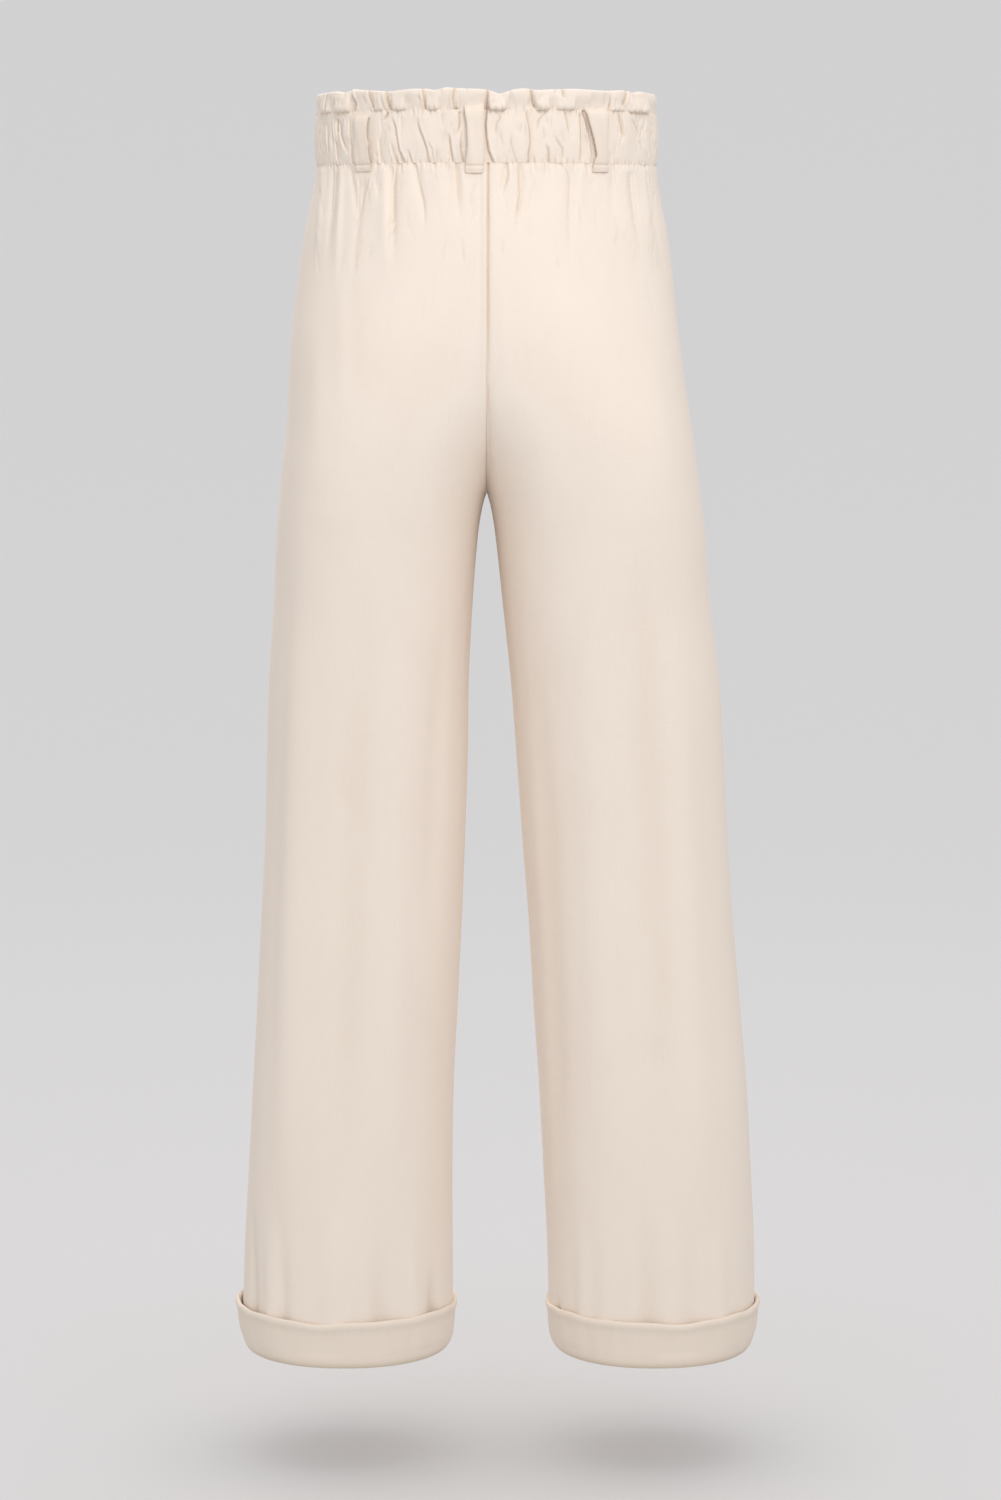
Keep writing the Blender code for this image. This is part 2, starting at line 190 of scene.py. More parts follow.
@dataclass(frozen=True)
class BodyForm:
    """The smooth shape of the body and legs, on a curve through the garment's sections."""

    rings: tuple[Ring, ...] = RINGS
    arc_steps: int = 72  # points that a panel's arc is measured at
    calm_steps: int = 400  # levels over which the widths are evened
    calm_reach: int = 16  # how many of them each width is evened with, above and below

    def value(self, name: str, z: np.ndarray) -> np.ndarray:
        """One of the sections' sizes at these heights.

        Args:
            name: the size's name in Ring.
            z: the heights.

        Returns:
            The size at each height, on a smooth curve through the table's rows.
        """
        knots = np.array([ring.z for ring in self.rings])
        values = np.array([getattr(ring, name) for ring in self.rings])
        slopes = np.empty_like(values)
        slopes[1:-1] = (values[2:] - values[:-2]) / (knots[2:] - knots[:-2])
        slopes[0] = (values[1] - values[0]) / (knots[1] - knots[0])
        slopes[-1] = (values[-1] - values[-2]) / (knots[-1] - knots[-2])
        start = np.clip(np.searchsorted(-knots, -z) - 1, 0, len(knots) - 2)
        span = knots[start + 1] - knots[start]
        share = np.clip((z - knots[start]) / span, 0.0, 1.0)
        near = 2 * share**3 - 3 * share**2 + 1
        far = 1.0 - near
        leaving = (share**3 - 2 * share**2 + share) * span
        arriving = (share**3 - share**2) * span
        ends = near * values[start] + far * values[start + 1]
        return ends + leaving * slopes[start] + arriving * slopes[start + 1]

    def oval(self, side: Side, end: End, z: np.ndarray) -> tuple[np.ndarray, ...]:
        """The half oval of a panel at each height.

        Args:
            side: which half of the garment.
            end: the back or the front.
            z: the heights.

        Returns:
            The oval's middle, half width, depth and exponent.
        """
        parted = np.maximum(self.value(side.label + "_parted", z), 0.0)
        half = self.value(side.label, z) / (1.0 + parted)
        return parted * half, half, self.value(end.label, z), self.value("square", z)

    def swept(self, side: Side, end: End, turned: np.ndarray, z: np.ndarray) -> np.ndarray:
        """Points in plan, from the inner edge (turned 0) to the side seam (turned 1).

        Args:
            side: which half of the garment.
            end: the back or the front.
            turned: the share of the panel's turn round its oval.
            z: the heights.

        Returns:
            Across and away from the oval's middle, stacked.
        """
        middle, half, depth, square = self.oval(side, end, z)
        parted = np.minimum(middle / half, 1.0)
        crossing = depth * (1.0 - parted**square) ** (1.0 / square)
        angle = np.arctan2(crossing, -parted * half) * (1.0 - turned)
        reach = np.abs(np.cos(angle) / half) ** square + np.abs(np.sin(angle) / depth) ** square
        distance = reach ** (-1.0 / square)
        return np.stack((distance * np.cos(angle), distance * np.sin(angle)), axis=-1)

    def calmed(self, heights: np.ndarray, widths: np.ndarray) -> np.ndarray:
        """Widths without the jump that they make at the crotch.

        Args:
            heights: the heights, from the lowest up.
            widths: the width at each height.

        Returns:
            The evened width at each height.
        """
        grid = np.linspace(heights[0], heights[-1], self.calm_steps)
        kernel = np.hanning(2 * self.calm_reach + 1)
        padded = np.pad(np.interp(grid, heights, widths), self.calm_reach, mode="edge")
        evened = np.convolve(padded, kernel / kernel.sum(), mode="valid")
        return np.interp(heights, grid, evened)

    def panel(self, side: Side, end: End, share: np.ndarray, z: np.ndarray) -> Places:
        """Places on a panel's plain face.

        Args:
            side: which half of the garment.
            end: the back or the front.
            share: how far along the cloth each point is, from the inner edge to the side seam.
            z: the heights.

        Returns:
            The points, their outward directions, and their distances along the cloth from the inner edge.
        """
        heights, row = np.unique(np.round(z, 7), return_inverse=True)
        steps = np.linspace(0.0, 1.0, self.arc_steps)
        turned, levels = np.meshgrid(steps, heights)
        line = self.swept(side, end, turned, levels)
        lengths = np.linalg.norm(np.diff(line, axis=1), axis=2)
        arc = np.concatenate((np.zeros((len(heights), 1)), np.cumsum(lengths, axis=1)), axis=1)
        width = arc[row, -1]
        inner = 1.0 - share
        calm = self.calmed(heights, arc[:, -1])[row]
        along = width - inner * calm - inner**4 * (width - calm)
        turns = np.empty_like(share)
        for index in range(len(heights)):
            chosen = row == index
            turns[chosen] = np.interp(along[chosen], arc[index], steps)
        flat = self.swept(side, end, turns, z)
        middle, half, depth, square = self.oval(side, end, z)
        slope_x = np.sign(flat[:, 0]) * np.abs(flat[:, 0] / half) ** (square - 1.0) / half
        slope_y = np.abs(flat[:, 1] / depth) ** (square - 1.0) / depth
        size = np.hypot(slope_x, slope_y)
        across = np.maximum(middle + flat[:, 0], 0.0)
        away = self.value("seam", z) + end.value * flat[:, 1]
        points = np.stack((side.value * across, away, z), axis=-1)
        outward = np.stack((side.value * slope_x / size, end.value * slope_y / size, 0.0 * z), axis=-1)
        return Places(points, outward, along, width)

    def waist(self, end: End, turn: np.ndarray, z: np.ndarray) -> Places:
        """Places round the waist, on the casing's plain face.

        Args:
            end: the back or the front.
            turn: the share of the half turn, from the wearer's left side seam to the right one.
            z: the heights.

        Returns:
            The points, their outward directions, and their distances along the cloth from the left seam.
        """
        depth = getattr(WAIST, end.label)
        angle = np.pi * turn
        fine = np.linspace(0.0, np.pi, self.arc_steps * 4)
        speed = np.hypot(WAIST.left * np.sin(fine), depth * np.cos(fine))
        arc = np.concatenate(([0.0], np.cumsum((speed[1:] + speed[:-1]) / 2 * np.diff(fine))))
        slope_x, slope_y = np.cos(angle) / WAIST.left, np.sin(angle) / depth
        size = np.hypot(slope_x, slope_y)
        points = np.stack((WAIST.left * np.cos(angle), end.value * depth * np.sin(angle), z), axis=-1)
        outward = np.stack((slope_x / size, end.value * slope_y / size, 0.0 * z), axis=-1)
        return Places(points, outward, np.interp(angle, fine, arc), np.full_like(z, arc[-1]))


FORM = BodyForm()


# ---------- Folds in the cloth ----------


CREASE_ROUND = 0.0003  # radius at the bottom of a crease
CREASE_LINE = 0.0005  # half width of the painted shade line along its bottom
CREASE_ROLL = 0.0016  # how far the roll along its steep side lies from it
CREASE_DEEP = 0.0018  # depth of a crease whose painted shade line is at its darkest
LEAST_FACING = 0.25  # folds are widened no further than this where the cloth turns away


class Fold(NamedTuple):
    """A fold, placed by the across and the height of its two ends.

    It stands out by its rise, or sinks where that is negative. Its width is that of its softer flank, and
    steep is the share of that width on its steep flank, positive where that one faces the wearer's left.
    bow bends it sideways, and starts and fades are the shares over which it grows and dies away.
    """

    top: float
    upper: float
    bottom: float
    lower: float
    rise: float
    width: float
    steep: float = 1.0
    bow: float = 0.0
    starts: float = 0.02
    fades: float = 0.6


def folded(folds: tuple[Fold, ...], places: Places) -> np.ndarray:
    """How far folds lift the cloth.

    Args:
        folds: the folds.
        places: the cloth's points.

    Returns:
        The lift at each point.
    """
    total = np.zeros(len(places.points))
    facing = np.maximum(np.abs(places.outward[:, 1]), LEAST_FACING)
    for fold in folds:
        down = (fold.upper - places.points[:, 2]) / (fold.upper - fold.lower)
        middle = fold.top + (fold.bottom - fold.top) * down + fold.bow * 4.0 * down * (1.0 - down)
        apart = (places.points[:, 0] - middle) / facing
        sharp = apart * np.sign(fold.steep) > 0
        width = np.where(sharp, fold.width * abs(fold.steep), fold.width)
        inside = smooth(down / fold.starts) * smooth((1.0 - down) / fold.fades)
        total += fold.rise * bell(apart, width) * inside
    return total


class Crease(NamedTuple):
    """A sharp crease where a seam pulls the cloth: a thin groove with a painted shade line in it, between
    two shoulders.

    path holds its across and its height, from the top down. It sinks by its depth, soft is the reach of
    its gentle shoulder, and steep is the share of that reach on its other shoulder, positive where that
    one faces the wearer's left. starts and fades are the shares over which it grows and dies away.
    """

    path: tuple[tuple[float, float], ...]
    depth: float
    soft: float = 0.0024
    steep: float = -0.4
    starts: float = 0.15
    fades: float = 0.30


def creased(creases: tuple[Crease, ...], places: Places) -> tuple[np.ndarray, np.ndarray]:
    """How creases shape the cloth.

    Args:
        creases: the creases.
        places: the cloth's points.

    Returns:
        The lift at each point, and how dark the painted shade line along each crease's bottom makes each
        point, from 0 to 1.
    """
    across, z = places.points[:, 0], places.points[:, 2]
    facing = np.maximum(np.abs(places.outward[:, 1]), LEAST_FACING)
    lift, line = np.zeros_like(z), np.zeros_like(z)
    for crease in creases:
        middles, heights = np.array(crease.path).T
        reach = 5.0 * crease.soft
        inside = (z <= heights[0]) & (z >= heights[-1])
        near = np.flatnonzero(inside & (across > middles.min() - reach) & (across < middles.max() + reach))
        down = (heights[0] - z[near]) / (heights[0] - heights[-1])
        apart = (across[near] - np.interp(-z[near], -heights, middles)) / facing[near]
        soft = np.where(apart * crease.steep > 0, crease.soft * abs(crease.steep), crease.soft)
        shoulder = np.exp((CREASE_ROUND - np.sqrt(apart**2 + CREASE_ROUND**2)) / soft)
        grown = smooth(down / crease.starts) * smooth((1.0 - down) / crease.fades)
        beside = bell(apart - math.copysign(CREASE_ROLL, crease.steep), 0.7 * CREASE_ROLL)
        lift[near] -= crease.depth * (shoulder - 0.45 * beside) * grown
        # painted shade: a dark line along the bottom of the crease, darker the deeper the crease is
        dark = min(crease.depth / CREASE_DEEP, 1.0) * bell(apart, CREASE_LINE) * grown
        line[near] = np.maximum(line[near], dark)
    return lift, line


@dataclass(frozen=True)
class Gathers:
    """The small creases that a gathering stitch draws into the cloth along one side of it."""

    seed: int
    stitch: float  # height of the gathering stitch
    way: int  # 1 where the creases run up from it, -1 where they run down
    length: tuple[float, float] = (0.003, 0.009)  # shortest and longest, and so on below
    pitch: tuple[float, float] = (0.0026, 0.0048)  # from one to the next, round the waist
    depth: tuple[float, float] = (0.0004, 0.0011)
    soft: tuple[float, float] = (0.0009, 0.0016)
    slant: float = 0.22  # how far one may lean, as a share of its length
    past: float = 0.0006  # how far they run on over the stitch

    def creases(self) -> tuple[Crease, ...]:
        """The creases, at the same places for any two pieces that share a seed.

        Returns:
            The creases, from the wearer's left to the right.
        """
        places, dice = np.random.default_rng(self.seed), np.random.default_rng(self.seed + 7 + self.way)
        angle, made = 0.02, []
        while angle < math.pi - 0.02:
            length = dice.uniform(*self.length) * max(math.sin(angle), 0.35)
            middle = WAIST.left * math.cos(angle)
            tip = middle + length * dice.uniform(-self.slant, self.slant)
            ends = ((tip, self.stitch + self.way * length), (middle, self.stitch - self.way * self.past))
            path = ends if self.way > 0 else ends[::-1]
            grows = (0.9, 0.01) if self.way > 0 else (0.01, 0.9)
            lean = places.choice((-0.5, -0.8, 0.5, 0.8))
            made.append(Crease(path, places.uniform(*self.depth), places.uniform(*self.soft), lean, *grows))
            angle += places.uniform(*self.pitch) / WAIST.back
        return tuple(made)


@dataclass(frozen=True)
class Crumples:
    """Faint short creases scattered over gathered cloth."""

    seed: int
    count: int
    top: float
    bottom: float
    length: tuple[float, float] = (0.006, 0.020)  # shortest and longest, and so on below
    depth: tuple[float, float] = (0.0002, 0.0007)
    soft: tuple[float, float] = (0.0014, 0.0032)
    slant: float = 0.30  # how far one may lean, as a share of its length
    crowded: float = 1.0  # above 1, more of them lie near the top

    def creases(self) -> tuple[Crease, ...]:
        """The creases.

        Returns:
            The creases, in no order.
        """
        dice, made = np.random.default_rng(self.seed), []
        for _ in range(self.count):
            middle = WAIST.left * math.cos(dice.uniform(0.03, math.pi - 0.03))
            length = dice.uniform(*self.length)
            upper = self.top - (self.top - self.bottom - length) * dice.uniform() ** self.crowded
            lean = length * dice.uniform(-self.slant, self.slant)
            bend = middle + lean * 0.5 + length * dice.uniform(-0.08, 0.08)
            path = ((middle, upper), (bend, upper - length / 2.0), (middle + lean, upper - length))
            steep = dice.choice((-0.4, -0.8, 0.4, 0.8))
            made.append(Crease(path, dice.uniform(*self.depth), dice.uniform(*self.soft), steep, 0.4, 0.5))
        return tuple(made)


def metres(sizes: Sequence[float]) -> tuple[float, ...]:
    """Sizes in metres.

    Args:
        sizes: the sizes in millimetres.

    Returns:
        The same sizes in metres.
    """
    return tuple(round(size / 1000.0, 7) for size in sizes)


def folds_of(*rows: tuple[float, ...]) -> tuple[Fold, ...]:
    """Folds from a table.

    Args:
        rows: each fold's values in the order of Fold, with its lengths in millimetres.

    Returns:
        The folds.
    """
    return tuple(Fold(*metres(row[:6]), *row[6:7], *metres(row[7:8]), *row[8:]) for row in rows)


def creases_of(*rows: tuple[object, ...]) -> tuple[Crease, ...]:
    """Creases from a table.

    Args:
        rows: each crease's values in the order of Crease, with its path and its lengths in millimetres.

    Returns:
        The creases.
    """
    return tuple(
        Crease(tuple(metres(point) for point in path), *metres(sizes[:2]), *sizes[2:])
        for path, *sizes in rows
    )


BACK_FOLDS = folds_of(
    (126.8, -20, 133.5, -115, 1.9, 6, 0.7),
    (119, -20, 124, -105, -1.4, 3, 0.8),
    (111.5, -20, 117, -125, 1.7, 5, -0.6),
    (105, -20.5, 98.5, -65, -1.2, 2.6, -0.7, 0, 0.02, 0.3),
    (93.5, -20.5, 99, -70, -1.2, 2.2, 0.7, 0, 0.02, 0.3),
    (98.5, -58, 104, -118, -1.1, 3.2, 1.0, 0, 0.25, 0.7),
    (87.5, -20.5, 86, -70, 1.1, 5),
    (78, -20.5, 77, -115, 1.6, 6, -0.45),
    (73.2, -20, 70.5, -108, -1.5, 2.6, 1.0, -0.5),
    (65, -20.5, 62, -65, 0.9, 5),
    (53.7, -21, 45.5, -78, -1.1, 2.8, 1.0, -1.2),
    (59, -20.5, 56, -62, 0.7, 4),
    (38, -20.5, 37, -56, 0.8, 5.5),
    (28.5, -20.5, 29.5, -48, -0.7, 2.6),
    (22.2, -20.5, 19.8, -74, -1, 2.6),
    (17, -20.5, 16.5, -62, 0.7, 3.6),
    (-15.2, -20.5, -11, -54, -1.1, 2.2),
    (-20, -20.5, -17, -70, 1, 3.6),
    (-26.7, -20.5, -21, -84, -1.2, 2.8, 1.0, -0.5),
    (-34, -20.5, -32, -60, 0.9, 4.6),
    (-46, -20.5, -47, -52, -0.6, 2.6),
    (-56, -20.5, -56, -90, 1.1, 6),
    (-65.8, -20, -63.2, -106, -1.4, 2.8, 1.0, -0.6),
    (-72.5, -20.5, -71, -76, 1, 4.6),
    (-79.8, -20.5, -83.2, -42, -0.9, 2.2),
    (-96, -20.5, -98.5, -76, -0.7, 3.6),
    (-105, -20.5, -112, -90, 1, 6),
    (-112, -26, -121, -100, -0.8, 4),
    (-123, -20.5, -129, -115, 1, 5.6),
    (-129, -56, -144, -125, -0.7, 4.2, 1.0, 0, 0.3, 0.5),
    (112, -95, 111, -215, 0.7, 7, 1.0, 0, 0.4, 0.5),
    (101, -110, 100, -225, -0.6, 7, 1.0, 0, 0.4, 0.5),
    (129, -130, 133, -290, 0.9, 12, 1.0, 0, 0.4, 0.5),
    (-10.5, -85, -16, -210, 0.8, 5.2, 0.8, 0, 0.4, 0.5),
    (-125, -125, -142, -300, 0.9, 13, 1.0, 0, 0.4, 0.5),
)
LEG_FOLDS = folds_of(
    (138, -260, 163, -970, 3.3, 17, 0.8, 6, 0.35, 0.45),
    (96, -300, 124, -920, -2.4, 14, 1.0, -4, 0.35, 0.45),
    (60, -340, 84, -960, 2.4, 15, 1.0, 3, 0.35, 0.40),
    (30, -330, 48, -680, -1.8, 10, 1.0, 3, 0.35, 0.45),
    (-35, -330, -64, -930, -2.1, 12, 1.0, -3, 0.35, 0.45),
    (-80, -300, -102, -950, 2.7, 17, 0.8, 4, 0.35, 0.45),
    (-115, -280, -148, -900, -2.5, 15, 1.0, -5, 0.35, 0.45),
    (-148, -300, -182, -960, 2.7, 15, 1.0, 4, 0.35, 0.45),
)
FRONT_FOLDS = folds_of(
    (122.5, -20, 129, -118, 2, 6, 0.7),
    (114, -20, 118, -90, -1.4, 3, 0.8),
    (106, -20.5, 108, -76, 1.3, 4.6),
    (96, -20.5, 99, -96, -1.4, 2.8, -0.8),
    (87, -20.5, 85, -60, 1, 5),
    (76, -20.5, 72, -112, -1.5, 2.8, 1.0, 0.6),
    (69, -20.5, 65, -105, 1.7, 5.6, -0.5),
    (57, -20.5, 59, -52, -0.8, 2.4),
    (48, -20.5, 43, -82, 1.1, 5),
    (39.5, -20.5, 35, -88, -1.4, 2.8),
    (26, -20.5, 25.5, -56, 0.9, 4.6),
    (16.5, -20.5, 14, -66, -1.1, 2.5),
    (-14, -20.5, -15, -56, 1, 4),
    (-22, -20.5, -19, -80, -1.3, 2.7),
    (-33, -20.5, -33, -52, 0.9, 4.6),
    (-43, -20.5, -41, -102, -1.5, 2.8, 1.0, 0.6),
    (-50, -20.5, -48, -94, 1.5, 5.4, 0.5),
    (-64, -20.5, -65, -56, -0.9, 2.5),
    (-76, -20.5, -79, -106, 1.4, 6),
    (-93, -20.5, -96, -90, -1.3, 3),
    (-106, -20.5, -112, -95, 1.3, 5.2),
    (-115, -20.5, -122, -110, -1.3, 3.6),
    (-124, -20.5, -132, -125, 1.7, 6, 0.7),
    (20, -230, 90, -350, -1.3, 7, 0.8, 6, 0.3, 0.6),
    (-22, -235, -86, -330, -1.1, 7, 0.8, -6, 0.3, 0.6),
    (102, -150, 110, -940, 1.4, 15, 1.0, 6, 0.25, 0.4),
    (56, -320, 90, -930, -1, 14, 1.0, -4, 0.35, 0.4),
    (-100, -160, -130, -930, 1.4, 16, 1.0, -4, 0.25, 0.4),
    (-56, -330, -85, -920, -1, 13, 1.0, 3, 0.35, 0.4),
)
BACK_CREASES = creases_of(
    (((100.3, -19), (98, -34), (99, -60), (102, -90)), 1.5, 3.4, 0.4, 0.02, 0.6),
    (((88, -19), (90.5, -32), (96.5, -52)), 1.4, 2.6, -0.4, 0.02, 0.4),
    (((84, -19), (85.5, -30), (81.5, -50)), 1.1, 2.6, 0.5, 0.02, 0.6),
    (((69, -19), (69.2, -26), (71.5, -40), (71.2, -66), (70.4, -100)), 1.8, 3.6, 0.4, 0.02, 0.5),
    (((66, -19), (63.6, -32)), 1, 2.2, -0.5, 0.02, 0.7),
    (((54.5, -19), (52, -34), (47.5, -52), (45.8, -76)), 1.3, 3, -0.4, 0.02, 0.5),
    (((40.5, -19), (37.8, -32)), 1, 2, 0.5, 0.02, 0.7),
    (((31.2, -19), (30, -30)), 0.9, 2, 0.5, 0.02, 0.7),
    (((22.8, -19), (21.8, -40), (19.9, -70)), 1.3, 2.6, 0.4, 0.02, 0.6),
    (((16.8, -19), (15.8, -36)), 1.2, 2, 0.5, 0.02, 0.6),
    (((-16, -19), (-16.5, -31), (-11.2, -48)), 1.4, 2.4, -0.5, 0.02, 0.5),
    (((-25, -19), (-25.5, -45), (-21.2, -80)), 1.3, 2.8, 0.4, 0.02, 0.5),
    (((-33.5, -19), (-35.2, -36)), 0.8, 2.4, 0.5, 0.02, 0.7),
    (((-45, -19), (-45, -32)), 0.9, 2, 0.5, 0.02, 0.7),
    (((-56.5, -19), (-62.6, -28), (-64.2, -34), (-63, -60), (-63.4, -98)), 1.1, 3.4, -0.6, 0.02, 0.6),
    (((-76.5, -19), (-77.8, -29), (-83.2, -40)), 1.4, 2.2, 0.4, 0.02, 0.5),
    (((-96, -19), (-98.5, -46)), 0.8, 3, -0.5, 0.02, 0.7),
    (((-111.2, -22), (-115, -60), (-121, -96)), 1, 4, -0.5, 0.2, 0.6),
    (((-124, -19), (-129, -60)), 0.9, 3.4, -0.5, 0.02, 0.7),
    (((116, -19), (118, -50), (121.5, -90)), 1, 3.6, 0.5, 0.02, 0.6),
)
SEAM_CREASES = creases_of(
    (((-1.4, -19), (-1.2, -120), (-0.8, -200)), 1.8, 0.9, 0.6, 0.01, 0.35),
    (((-1, -185), (-2, -240), (-5.5, -268)), 1, 0.9, 0.6, 0.10, 0.20),
)
HEM_FOLDS = folds_of(
    (190, -830, 188, -980, -3, 6, 0.7, 0, 0.6, 0.05),
    (176, -830, 174, -980, 2, 7, 0.8, 0, 0.6, 0.05),
    (164, -830, 162, -980, -2.6, 5.6, -0.7, 0, 0.6, 0.05),
    (122, -820, 124, -980, 2.6, 12, 0.8, 0, 0.6, 0.05),
    (88, -830, 86, -980, -2.8, 11, 0.6, 0, 0.6, 0.05),
    (60, -830, 58, -980, 2, 8, 0.8, 0, 0.6, 0.05),
    (44, -890, 40, -980, -5, 4, 1.6, 0, 0.5, 0.05),
    (-57, -915, -59, -980, -3, 3.4, 1.4, 0, 0.6, 0.05),
    (-75, -830, -78, -980, 1.8, 7, 0.8, 0, 0.6, 0.05),
    (-93, -820, -96, -980, 2, 11, 0.7, 0, 0.6, 0.05),
    (-124, -820, -130, -980, -2.8, 11, 0.6, 0, 0.6, 0.05),
    (-162, -820, -166, -980, -2, 10, -0.7, 0, 0.6, 0.05),
    (-186, -830, -188, -980, 2, 8, 0.7, 0, 0.6, 0.05),
)
FRONT_CREASES = creases_of(
    (((116, -19), (115, -45), (118, -85)), 1.6, 3.6, 0.4, 0.02, 0.6),
    (((99, -19), (97.5, -40), (99, -70)), 1.5, 3.2, -0.4, 0.02, 0.6),
    (((76.5, -19), (74.5, -50), (72, -95)), 1.8, 3.4, 0.4, 0.02, 0.6),
    (((61, -19), (58.5, -40)), 1, 2.4, -0.5, 0.02, 0.7),
    (((42, -19), (39.5, -45), (35.5, -80)), 1.6, 3, -0.4, 0.02, 0.6),
    (((25.5, -19), (26.2, -36)), 1, 2.2, 0.5, 0.02, 0.7),
    (((15, -19), (14, -50)), 1.3, 2.6, 0.5, 0.02, 0.6),
    (((-12, -19), (-14, -40)), 1.2, 2.4, -0.5, 0.02, 0.6),
    (((-24, -19), (-22, -50), (-19, -75)), 1.6, 2.8, 0.4, 0.02, 0.6),
    (((-44, -19), (-41.5, -60), (-40, -96)), 1.7, 3.4, -0.4, 0.02, 0.6),
    (((-59, -19), (-62, -40)), 1, 2.4, 0.5, 0.02, 0.7),
    (((-73, -19), (-76, -50)), 1.3, 3, 0.5, 0.02, 0.7),
    (((-95, -19), (-96, -50), (-98.5, -80)), 1.5, 3, -0.4, 0.02, 0.6),
    (((-114, -19), (-118, -60), (-123, -100)), 1.4, 3.6, 0.4, 0.02, 0.6),
)
